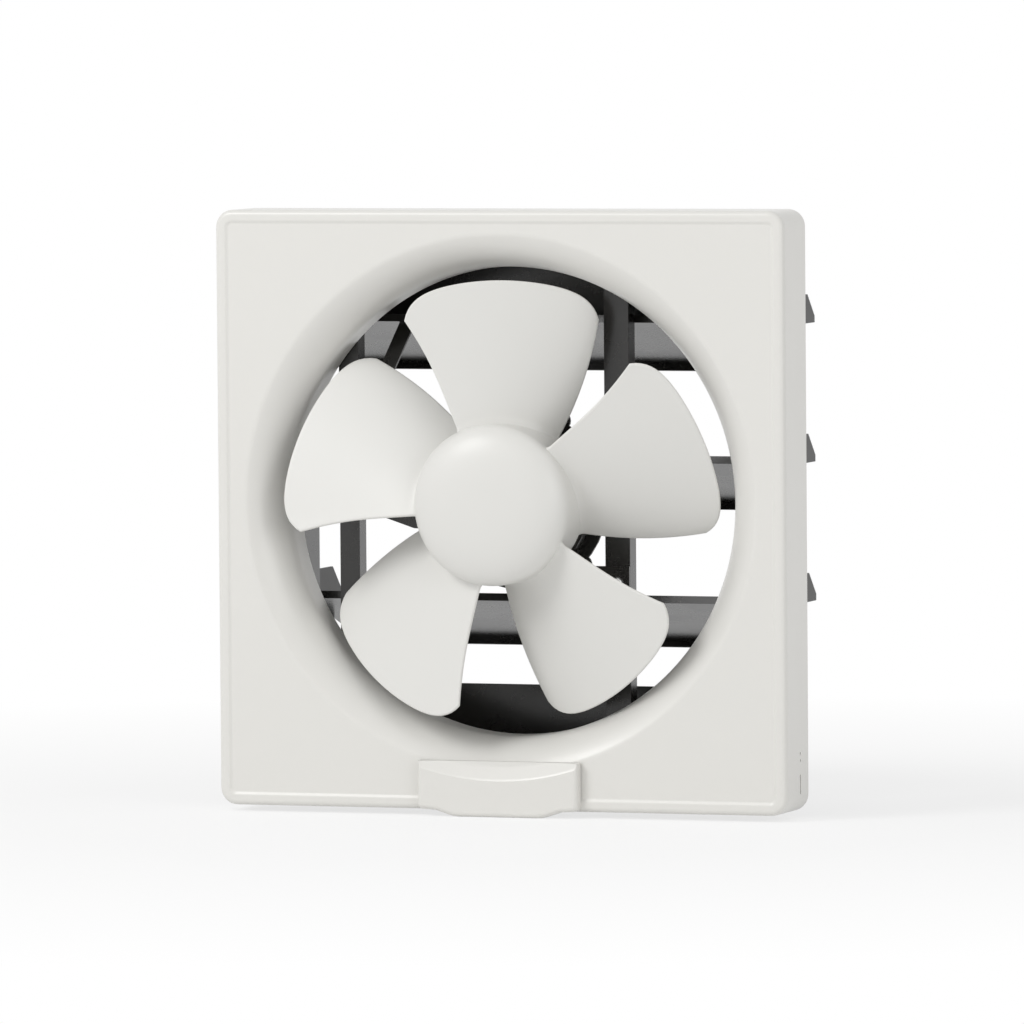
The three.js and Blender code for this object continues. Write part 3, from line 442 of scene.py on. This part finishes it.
def slab(points, low, high):
    """An outline in x and z, given thickness along y."""
    bm = bmesh.new()
    face = bm.faces.new([bm.verts.new((x, low, z)) for x, z in points])
    made = bmesh.ops.extrude_face_region(bm, geom=[face], use_keep_orig=True)
    moved = [v for v in made["geom"] if isinstance(v, bmesh.types.BMVert)]
    bmesh.ops.translate(bm, vec=(0, high - low, 0), verts=moved)
    return clean(bm)


def soften(bm, width=0.25, segments=2, sharper=40):
    """Rounds every edge that turns by more than `sharper` degrees."""
    turn = math.radians(sharper)
    edges = [e for e in bm.edges if e.is_manifold and e.calc_face_angle(0) > turn]
    bmesh.ops.bevel(bm, geom=edges, offset=width, offset_type="OFFSET", segments=segments, profile=0.5,
                    affect="EDGES", material=-1, clamp_overlap=True)
    return bm


def object_from(name, bm):
    """Turns a mesh drawn in millimetres into an object in metres."""
    bmesh.ops.scale(bm, vec=(MM, MM, MM), verts=bm.verts)
    mesh = bpy.data.meshes.new(name)
    bm.to_mesh(mesh)
    bm.free()
    made = bpy.data.objects.new(name, mesh)
    bpy.context.scene.collection.objects.link(made)
    return made


def settle(piece):
    """Takes what the modifiers make into the mesh."""
    depsgraph = bpy.context.evaluated_depsgraph_get()
    mesh = bpy.data.meshes.new_from_object(piece.evaluated_get(depsgraph))
    piece.modifiers.clear()
    piece.data = mesh


def combine(piece, bm, operation, folded=False):
    """Cuts the tool from the piece or joins it on; `folded` is for a mesh that meets itself."""
    tool = object_from("tool", clean(bm))
    step = piece.modifiers.new("combine", "BOOLEAN")
    step.operation = operation
    step.solver = "EXACT"
    step.use_self = folded
    step.object = tool
    settle(piece)
    bpy.data.objects.remove(tool)


def thicken(piece, wall):
    """Gives an open skin its wall, inwards."""
    step = piece.modifiers.new("wall", "SOLIDIFY")
    step.thickness = wall * MM
    step.offset = -1
    step.use_even_offset = True
    step.use_quality_normals = True
    settle(piece)


def finish(piece, node, crisp=38):
    """Shades the piece, gives it the finish of the node that it stands for, and lets it move with it."""
    mesh = piece.data
    mesh.polygons.foreach_set("use_smooth", [True] * len(mesh.polygons))
    mesh.set_sharp_from_angle(angle=math.radians(crisp))
    mesh.materials.clear()
    mesh.materials.append(looks[slot_of[node]].material)
    step = piece.modifiers.new("even normals", "WEIGHTED_NORMAL")
    step.keep_sharp = True
    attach(piece, body_of[node])
    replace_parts(piece, node)


def eased(node):
    """A copy of a node of the frame with its edges softened."""
    bm = bmesh.new()
    bm.from_mesh(frame["nodes"][node].data)
    bmesh.ops.scale(bm, vec=(1 / MM, 1 / MM, 1 / MM), verts=bm.verts)
    bmesh.ops.remove_doubles(bm, verts=bm.verts, dist=1e-3)
    bmesh.ops.dissolve_limit(bm, angle_limit=math.radians(1), use_dissolve_boundaries=False,
                             verts=bm.verts, edges=bm.edges, delimit=set())
    finish(object_from(node + "_eased", soften(bm)), node)


# ---- front panel ----------------------------------------------------------------------------------
def widest(bm):
    return max(bm.faces, key=lambda f: f.calc_area())


def face_the_room(bm):
    """Turns an open skin so that its widest face looks towards -Y."""
    bmesh.ops.recalc_face_normals(bm, faces=bm.faces)
    bm.normal_update()
    if widest(bm).normal.y > 0:
        bmesh.ops.reverse_faces(bm, faces=bm.faces)
        bm.normal_update()


def panel_box(bm, low, high):
    """Side walls and a flat front with rounded corners, open at the rear."""
    half = (high.x - low.x) / 2
    middle = (low.z + high.z) / 2
    place = (Matrix.Translation((0, high.y, middle)) @ Matrix.Rotation(math.pi / 2, 4, "X")
             @ Matrix.Rotation(math.pi / 4, 4, "Z"))
    square = bmesh.ops.create_circle(bm, cap_ends=True, segments=4, radius=half * math.sqrt(2), matrix=place)
    bmesh.ops.bevel(bm, geom=square["verts"], offset=PANEL_CORNER, offset_type="OFFSET",
                    segments=CORNER_STEPS, profile=0.5, affect="VERTICES", material=-1)
    sides = [e for e in bm.edges if e.calc_length() > half]
    bmesh.ops.subdivide_edges(bm, edges=sides, cuts=ROUND_STEPS // 4 - CORNER_STEPS - 1)
    made = bmesh.ops.extrude_face_region(bm, geom=list(bm.faces))
    moved = [v for v in made["geom"] if isinstance(v, bmesh.types.BMVert)]
    bmesh.ops.translate(bm, vec=(0, low.y - high.y, 0), verts=moved)
    rear = [f for f in bm.faces if all(v.co.y > high.y - 1 for v in f.verts)]
    bmesh.ops.delete(bm, geom=rear, context="FACES_ONLY")
    face_the_room(bm)


def panel_rim(bm, low, high):
    """Side walls, rounded front edge and raised border; returns the inner edge of the border."""
    panel_box(bm, low, high)
    front = widest(bm)
    bmesh.ops.bevel(bm, geom=list(front.edges), offset=PANEL_EDGE, offset_type="OFFSET", segments=7,
                    profile=0.5, affect="EDGES", material=-1)
    bm.normal_update()
    front = widest(bm)
    bmesh.ops.inset_region(bm, faces=[front], thickness=BORDER_WIDTH - PANEL_EDGE, use_even_offset=True)
    ridge = list(front.edges)
    bmesh.ops.inset_region(bm, faces=[front], thickness=BORDER_SLOPE, depth=-BORDER_STEP,
                           use_even_offset=True)
    foot = list(front.edges)
    bmesh.ops.bevel(bm, geom=ridge + foot, offset=BORDER_SOFT, offset_type="OFFSET", segments=3,
                    profile=0.5, affect="EDGES", material=-1)
    front = widest(bm)
    edges = list(front.edges)
    bmesh.ops.delete(bm, geom=[front], context="FACES_ONLY")
    return edges


def bell_curve(share, front):
    """Point of the bell at this share of the way from its mouth to its throat, as (radius, y)."""
    first = math.sin(BELL_START)
    t = BELL_START + share * (math.pi / 2 - BELL_START)
    inward = (math.sin(t) - first) / (1 - first)
    radius = BELL_RADIUS - (BELL_RADIUS - THROAT_RADIUS) * inward
    return Vector((radius, front + BELL_LENGTH * (1 - math.cos(t) / math.cos(BELL_START))))


def bell_profile(front, rear, steps=26, ease=4, straight=6):
    """From the mouth in the face, over a soft edge, to the end of the throat, as (radius, y)."""
    flat = Vector((BELL_RADIUS + MOUTH_EASE, front))
    corner = Vector((BELL_RADIUS, front))
    first = 1 / steps
    curve = bell_curve(first, front)
    profile = []
    for k in range(ease):
        share = k / ease
        profile.append(flat.lerp(corner, share).lerp(corner.lerp(curve, share), share))
    profile += [bell_curve(first + k * (1 - first) / steps, front) for k in range(steps + 1)]
    end = front + BELL_LENGTH
    profile += [(THROAT_RADIUS, end + (rear - end) * k / straight) for k in range(1, straight + 1)]
    return profile


def panel_skin(low, high, face):
    """The outer skin, from the rear rim over the face into the throat."""
    bm = bmesh.new()
    border = panel_rim(bm, low, high)
    bell = turned(bell_profile(face, high.y), closed=False)
    bell.transform(ALONG_Y)
    bmesh.ops.remove_doubles(bell, verts=bell.verts, dist=1e-4)
    add_mesh(bm, bell)
    mouth = [e for e in bm.edges if e.is_boundary
             and all(abs(v.co.y - face) < 0.01 and v.co.xz.length < BELL_RADIUS + 2 * MOUTH_EASE
                     for v in e.verts)]
    bmesh.ops.bridge_loops(bm, edges=border + mouth)
    face_the_room(bm)
    return bm


def keyhole(bm, x, front, back):
    """Narrow slot for a hook's neck, above the wide one where its head comes free."""
    middle = HOOK_Z - HOOK_TRAVEL / 2
    narrow = NECK[0] / 2 + ROOM
    wide = HEAD[0] / 2 + ROOM
    brick(bm, (x - narrow, front, middle - 0.1), (x + narrow, back, HOOK_Z + NECK[1] / 2))
    brick(bm, (x - wide, front, HOOK_Z - HOOK_TRAVEL - HEAD[1] / 2 - ROOM), (x + wide, back, middle))


def panel_cuts(low, high, face, flange, corners):
    """Bores of the posts, vents in the right side wall and keyholes behind the cup."""
    cuts = bmesh.new()
    for x, z in corners:
        rod(cuts, SCREW_BORE, (x, flange - POST_THREAD, z), (x, flange + 1, z))
    outside = high.x + 1
    inside = high.x - PANEL_WALL - 1
    for z in VENT_HOLES:
        rod(cuts, VENT_RADIUS, (inside, VENT_Y, z), (outside, VENT_Y, z))
    brick(cuts, (inside, VENT_Y - VENT_RADIUS, VENT_SLIT[0]), (outside, VENT_Y + VENT_RADIUS, VENT_SLIT[1]))
    for x in (-HOOK_X, HOOK_X):
        keyhole(cuts, x, low.y - 1, face + PANEL_WALL + 1)
    return cuts


def front_panel():
    low, high = span("front_panel")
    face = low.y + BORDER_STEP
    flange = span("rear_frame")[0].y
    piece = object_from("panel_shell", panel_skin(low, high, face))
    thicken(piece, PANEL_WALL)
    corners = [(sx * POST_AT, sz * POST_AT + (low.z + high.z) / 2) for sx in (-1, 1) for sz in (-1, 1)]
    posts = bmesh.new()
    for x, z in corners:
        rod(posts, POST_RADIUS, (x, face + 1, z), (x, flange, z))
    combine(piece, posts, "UNION", folded=True)
    combine(piece, panel_cuts(low, high, face, flange, corners), "DIFFERENCE", folded=True)
    finish(piece, "front_panel")


# ---- oil cup --------------------------------------------------------------------------------------
def cup_body(low, high, panel_low):
    """The cup's outer form, solid, with a rounded front edge."""
    half = high.x
    rim = panel_low.z
    outline = [
        (-half, high.z), (-half, rim + CUP_CORNER), (-CUP_SHOULDER, rim), (-CUP_SPOUT, low.z),
        (CUP_SPOUT, low.z), (CUP_SHOULDER, rim), (half, rim + CUP_CORNER), (half, high.z),
    ]
    body = slab(rounded(outline, (*CUP_ROUNDS, *CUP_ROUNDS[::-1]), 8), low.y, panel_low.y)
    front = [e for e in body.edges if all(v.co.y < low.y + 0.01 for v in e.verts)]
    bmesh.ops.bevel(body, geom=front, offset=CUP_EDGE, offset_type="OFFSET", segments=6, profile=0.5,
                    affect="EDGES", material=-1)
    return body


def cup_scoop(front):
    """The round tool that hollows the cup's front about the fan axis."""
    far = 9
    outline = [
        (0, front - far), (BELL_RADIUS + far, front - far), (BELL_RADIUS + SCOOP_OUTER, front - 0.1),
        (BELL_RADIUS - SCOOP_INNER, front + SCOOP_DEPTH), (0, front + SCOOP_DEPTH),
    ]
    return fan_turned(rounded(outline, (0, 0, SCOOP_SOFT, SCOOP_SOFT, 0), 8), 256, closed=False)


def open_top(piece, height):
    """Takes away the faces that lie at the top."""
    bm = bmesh.new()
    bm.from_mesh(piece.data)
    top = [f for f in bm.faces if all(v.co.z > (height - 0.05) * MM for v in f.verts)]
    bmesh.ops.delete(bm, geom=top, context="FACES")
    bm.to_mesh(piece.data)
    bm.free()


def cup_hooks(front):
    """Two headed hooks that reach through the panel's keyholes."""
    bm = bmesh.new()
    back = front + BORDER_STEP + PANEL_WALL + HOOK_SEAT
    neck, neck_height = NECK
    head, head_height, head_thick = HEAD
    for x in (-HOOK_X, HOOK_X):
        brick(bm, (x - neck / 2, front - 1, HOOK_Z - neck_height / 2),
              (x + neck / 2, back + 0.5, HOOK_Z + neck_height / 2))
        brick(bm, (x - head / 2, back, HOOK_Z - head_height / 2),
              (x + head / 2, back + head_thick, HOOK_Z + head_height / 2))
    return bm


def oil_cup():
    """Shallow tray, open at the top."""
    low, high = span("oil_cup")
    panel_low = span("front_panel")[0]
    piece = object_from("cup", cup_body(low, high, panel_low))
    combine(piece, cup_scoop(low.y), "DIFFERENCE")
    open_top(piece, high.z)
    thicken(piece, CUP_WALL)
    combine(piece, cup_hooks(panel_low.y), "UNION")
    finish(piece, "oil_cup")


# ---- impeller -------------------------------------------------------------------------------------
def blade_point(s, u):
    """Middle surface of a blade: s runs from the root to the tip, u from the trailing to the leading edge."""
    lead = math.radians(BLADE_LEAD[0] - BLADE_LEAD[1] * math.sin(math.pi * s))
    trail = -math.radians(BLADE_TRAIL[0] - BLADE_TRAIL[1] * max(s, 0) ** BLADE_TRAIL_POWER)
    root = HUB_RADIUS - HUB_WALL / 2
    radius = root + s * (FAN_RADIUS - TIP_CORNER * abs(2 * u - 1) ** TIP_POWER - root)
    angle = trail + u * (lead - trail)
    bulge = 4 * u * (1 - u)
    middle = (HUB_FRONT + HUB_REAR) / 2
    offset, pitch, camber = (base + growth * s for base, growth in (BLADE_MIDDLE, BLADE_PITCH, BLADE_CAMBER))
    y = middle + offset - pitch * angle - camber * bulge
    return Vector((-radius * math.sin(angle), y, radius * math.cos(angle)))


def blade(along=44, across=48):
    """A thin twisted sheet with rounded edges that swells into the hub."""
    bm = bmesh.new()
    bmesh.ops.create_grid(bm, x_segments=along, y_segments=across, size=0.5)
    share = bm.verts.layers.float.new("share")
    for v in bm.verts:
        s, u = v.co.x + 0.5, v.co.y + 0.5
        v[share] = s
        v.co = blade_point(s, u)
    bm.normal_update()
    bmesh.ops.solidify(bm, geom=bm.faces[:], thickness=BLADE_THICK)
    bmesh.ops.recalc_face_normals(bm, faces=bm.faces)
    rims = [e for e in bm.edges if e.is_manifold and e.calc_face_angle(0) > math.radians(50)]
    bmesh.ops.bevel(bm, geom=rims, offset=BLADE_THICK * BLADE_RIM, offset_type="OFFSET", segments=4,
                    profile=0.5, affect="EDGES", material=-1)
    bm.normal_update()
    reach = BLADE_FILLET / (FAN_RADIUS - HUB_RADIUS)
    for v in bm.verts:
        near = max(0.0, 1 - v[share] / reach)
        if near > 0:
            swell = 1 - math.sqrt(max(0.0, 1 - near * near))
            v.co += v.normal * (BLADE_FILLET * swell * BLADE_FILLET_RISE)
    return bm


def impeller():
    """Hollow hub with a boss for the shaft, and the blades round it."""
    rim = HUB_RADIUS - HUB_WALL
    floor = HUB_FRONT + HUB_WALL
    bore = SHAFT_RADIUS + SHAFT_FIT
    drum = rounded([
        (bore, HUB_FRONT), (HUB_RADIUS, HUB_FRONT), (HUB_RADIUS, HUB_REAR), (rim, HUB_REAR), (rim, floor),
        (BOSS_RADIUS, floor), (BOSS_RADIUS, HUB_REAR), (bore, HUB_REAR),
    ], (0.3, 0.8, 1.0, 1.0, 3, 3, 1.2, 0.3))
    piece = object_from("impeller_drum", fan_turned(drum, 144))
    for i in range(BLADE_COUNT):
        bm = blade()
        bm.transform(Matrix.Rotation(i * 2 * math.pi / BLADE_COUNT, 4, "Y"))
        combine(piece, bm, "UNION")
    finish(piece, "impeller", crisp=50)


def spinner(steps=36):
    """Domed cap on the front of the hub."""
    low, high = span("spinner")
    radius, height = high.x, high.y - low.y
    dome = []
    for k in range(steps + 1):
        t = k / steps * math.pi / 2
        shrink = 0 if k == steps else math.cos(t) ** SPINNER_SHOULDER
        dome.append((radius * shrink, high.y - height * math.sin(t)))
    narrower, lower = 1 - SPINNER_WALL / radius, 1 - SPINNER_WALL / height
    inner = [(r * narrower, high.y + (y - high.y) * lower) for r, y in dome]
    profile = [*dome[::-1], *inner]
    piece = object_from("spinner_cap", fan_turned(profile, 144, closed=False))
    finish(piece, "spinner", crisp=60)


# ---- motor ----------------------------------------------------------------------------------------
def motor_shell(name, end):
    """Pressed shell with a bearing seat and a shallow bead round its end."""
    inward = math.copysign(1, MOTOR_SPLIT - end)
    floor = end + inward * MOTOR_WALL
    seat = end + inward * (MOTOR_WALL + BEARING_WIDTH)
    foot = floor + inward * SEAT_FOOT
    bead = end + inward * BEAD_DEPTH
    hole = SHAFT_RADIUS + SHAFT_ROOM
    bearing = BEARING_RADIUS + BEARING_FIT
    inner = MOTOR_RADIUS - MOTOR_WALL
    points = [
        (hole, end), (BEAD[0], end), (BEAD[1], bead), (BEAD[2], bead), (BEAD[3], end),
        (MOTOR_RADIUS, end), (MOTOR_RADIUS, MOTOR_SPLIT), (inner, MOTOR_SPLIT), (inner, foot),
        (bearing + SEAT_WALL, foot), (bearing + SEAT_WALL, seat), (bearing, seat), (bearing, floor),
        (hole, floor),
    ]
    radii = (0.3, 1.5, 1.5, 1.5, 1.5, MOTOR_CORNER, 0.3, 0.2, 3.8, 0.5, 0.3, 0.3, 0.3, 0.2)
    return object_from(name, fan_turned(rounded(points, radii, 8), 128))


def motor_lugs(back):
    """Lugs of the front shell in which the motor screws sit, ready to be joined on."""
    lugs = bmesh.new()
    cuts = bmesh.new()
    front = back - LUG_THICK
    near, far = LUG_REACH
    for name in ("motor_screw_1", "motor_screw_2", "motor_screw_3"):
        a, b = span(name)
        x, z = (a.x + b.x) / 2, (a.z + b.z) / 2
        rod(lugs, LUG_RADIUS, (x, front, z), (x, back, z), 40)
        outward = Vector((x, 0, z)).normalized()
        side = Vector((-outward.z, 0, outward.x)) * LUG_RADIUS
        arm = [outward * near + side, outward * far + side, outward * far - side, outward * near - side]
        add_mesh(lugs, slab([(p.x, p.z) for p in arm], front, back))
        rod(cuts, SCREW_BORE, (x, front - 1, z), (x, back + 1, z), 24)
    rod(cuts, MOTOR_RADIUS - LUG_OVERLAP, (0, front - 1, 0), (0, back + 1.2, 0), 128)
    arms = object_from("lugs", lugs)
    combine(arms, cuts, "DIFFERENCE")
    tool = bmesh.new()
    tool.from_mesh(arms.data)
    bmesh.ops.scale(tool, vec=(1 / MM, 1 / MM, 1 / MM), verts=tool.verts)
    bpy.data.objects.remove(arms)
    return tool


def motor():
    front = motor_shell("motor_front", span("motor_front_shell")[0].y)
    combine(front, motor_lugs(span("motor_bracket")[0].y), "UNION")
    finish(front, "motor_front_shell")
    finish(motor_shell("motor_rear", span("motor_rear_shell")[1].y), "motor_rear_shell")


# ---- screws ---------------------------------------------------------------------------------------
def pan_screw(node, head_side):
    """Pan-head screw with a cross recess; head_side points from the shank to the head."""
    low, high = span(node)
    middle = (low + high) / 2
    towards = Vector(head_side)
    length = abs((high - low).dot(towards))
    head, height = SCREW_HEAD
    neck = length - height
    tip_radius, tip = SCREW_TIP
    profile = rounded([
        (0, length), (head * 0.98, length), (head, neck), (SCREW_SHANK, neck), (SCREW_SHANK, tip),
        (tip_radius, 0), (0, 0),
    ], (0, 1.6, 0.2, 0.15, 0.2, 0.2, 0), 5)
    bm = clean(turned(profile, 40, closed=False))
    piece = object_from(node + "_head", bm)
    cross = bmesh.new()
    for wide, narrow in (CROSS_ARM, CROSS_ARM[::-1]):
        brick(cross, (-wide, -narrow, length - height * CROSS_DEPTH), (wide, narrow, length + 1))
    combine(piece, cross, "DIFFERENCE", folded=True)
    turn = towards.to_track_quat("Z", "Y").to_matrix().to_4x4()
    place = Matrix.Translation((middle - towards * length / 2) * MM) @ turn
    piece.data.transform(place)
    finish(piece, node)


# ---- build ----------------------------------------------------------------------------------------
front_panel()
oil_cup()
impeller()
spinner()
motor()
for node in ("motor_screw_1", "motor_screw_2", "motor_screw_3"):
    pan_screw(node, (0, 1, 0))
for node in ("bracket_screw_1", "bracket_screw_2"):
    pan_screw(node, (0, -1, 0))
for node in ("foot_screw_1", "foot_screw_3"):
    pan_screw(node, (0, 0, -1))
for node in ("foot_screw_2", "foot_screw_4", "clamp_screw"):
    pan_screw(node, (0, 0, 1))
replaced = {n for o in bpy.data.objects for n in o.get("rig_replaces", [])}
for node in frame["nodes"]:
    if node not in replaced:
        eased(node)


# ---- floor, light and camera ----------------------------------------------------------------------
def white_surroundings():
    """Even light, with a white backdrop for what is seen directly or as a reflection."""
    world = bpy.data.worlds.new("white room")
    bpy.context.scene.world = world
    world.use_nodes = True
    tree = world.node_tree
    background = tree.nodes["Background"]
    path = tree.nodes.new("ShaderNodeLightPath")
    seen = tree.nodes.new("ShaderNodeMath")
    seen.operation = "MAXIMUM"
    tree.links.new(path.outputs["Is Camera Ray"], seen.inputs[0])
    tree.links.new(path.outputs["Is Glossy Ray"], seen.inputs[1])
    strength = tree.nodes.new("ShaderNodeMapRange")
    tree.links.new(seen.outputs[0], strength.inputs["Value"])
    strength.inputs["To Min"].default_value = WORLD_LIGHT
    strength.inputs["To Max"].default_value = 1.0
    tree.links.new(strength.outputs[0], background.inputs["Strength"])
    background.inputs["Color"].default_value = (1, 1, 1, 1)


def floor(height):
    """White floor that takes the fan's shadow and is plain white away from it."""
    look = Look("white floor")
    look.set("Base Color", (0.9, 0.9, 0.9))
    look.set("Roughness", 0.9)
    glow = look.node("ShaderNodeEmission", {}, {"Color": (1, 1, 1), "Strength": 1.0})
    path = look.node("ShaderNodeLightPath", output="Is Camera Ray")
    gloss = look.node("ShaderNodeLightPath", output="Is Glossy Ray")
    x, y, _ = look.axes()
    away = (((x * x + y * y) ** 0.5 - FLOOR_NEAR) / (FLOOR_FAR - FLOOR_NEAR)).limited()
    share = path.math("MAXIMUM", path, gloss) * (FLOOR_GLOW + (1 - FLOOR_GLOW) * away)
    mixed = look.node("ShaderNodeMixShader", {}, {0: share, 1: Value(look, look.shader.outputs[0]), 2: glow})
    look.tree.links.new(mixed.socket, look.tree.nodes["Material Output"].inputs["Surface"])
    bm = bmesh.new()
    bmesh.ops.create_grid(bm, x_segments=1, y_segments=1, size=FLOOR_REACH / MM)
    bmesh.ops.translate(bm, vec=(0, 0, height), verts=bm.verts)
    ground = object_from("floor", bm)
    ground.data.materials.append(look.material)


def lamp(name, place, size, power):
    """Round lamp that points at the fan."""
    light = bpy.data.lights.new(name, "AREA")
    light.shape = "DISK"
    light.size = size
    light.energy = power
    made = bpy.data.objects.new(name, light)
    made.location = place
    made.rotation_euler = (-Vector(place)).to_track_quat("-Z", "Y").to_euler()
    bpy.context.scene.collection.objects.link(made)


def camera():
    """The photograph's place, lens and framing."""
    azimuth, elevation, roll = (math.radians(a) for a in CAMERA_TURN)
    target = Vector(CAMERA_TARGET) * MM
    back = Vector((math.sin(azimuth) * math.cos(elevation), -math.cos(azimuth) * math.cos(elevation),
                   math.sin(elevation)))
    level = Vector((math.cos(azimuth), math.sin(azimuth), 0))
    upright = back.cross(level)
    right = level * math.cos(roll) + upright * math.sin(roll)
    up = back.cross(right)
    lens = bpy.data.cameras.new("camera")
    lens.sensor_width = SENSOR
    lens.lens = FOCAL_PIXELS / PHOTO_PIXELS * SENSOR
    lens.shift_x = (PHOTO_PIXELS / 2 - PHOTO_CENTRE[0]) / PHOTO_PIXELS
    lens.shift_y = (PHOTO_CENTRE[1] - PHOTO_PIXELS / 2) / PHOTO_PIXELS
    lens.clip_end = 100
    made = bpy.data.objects.new("camera", lens)
    turn = Matrix((right, up, back)).transposed().to_4x4()
    made.matrix_world = Matrix.Translation(target + back * CAMERA_DISTANCE) @ turn
    bpy.context.scene.collection.objects.link(made)
    bpy.context.scene.camera = made


white_surroundings()
floor(cad_box[0].z / MM)
lamp("key", place=(-1.6, -2.2, 2.0), size=1.4, power=41)
lamp("fill", place=(2.4, -2.0, 0.6), size=1.6, power=12)
camera()
bpy.context.scene.view_settings.view_transform = "Standard"
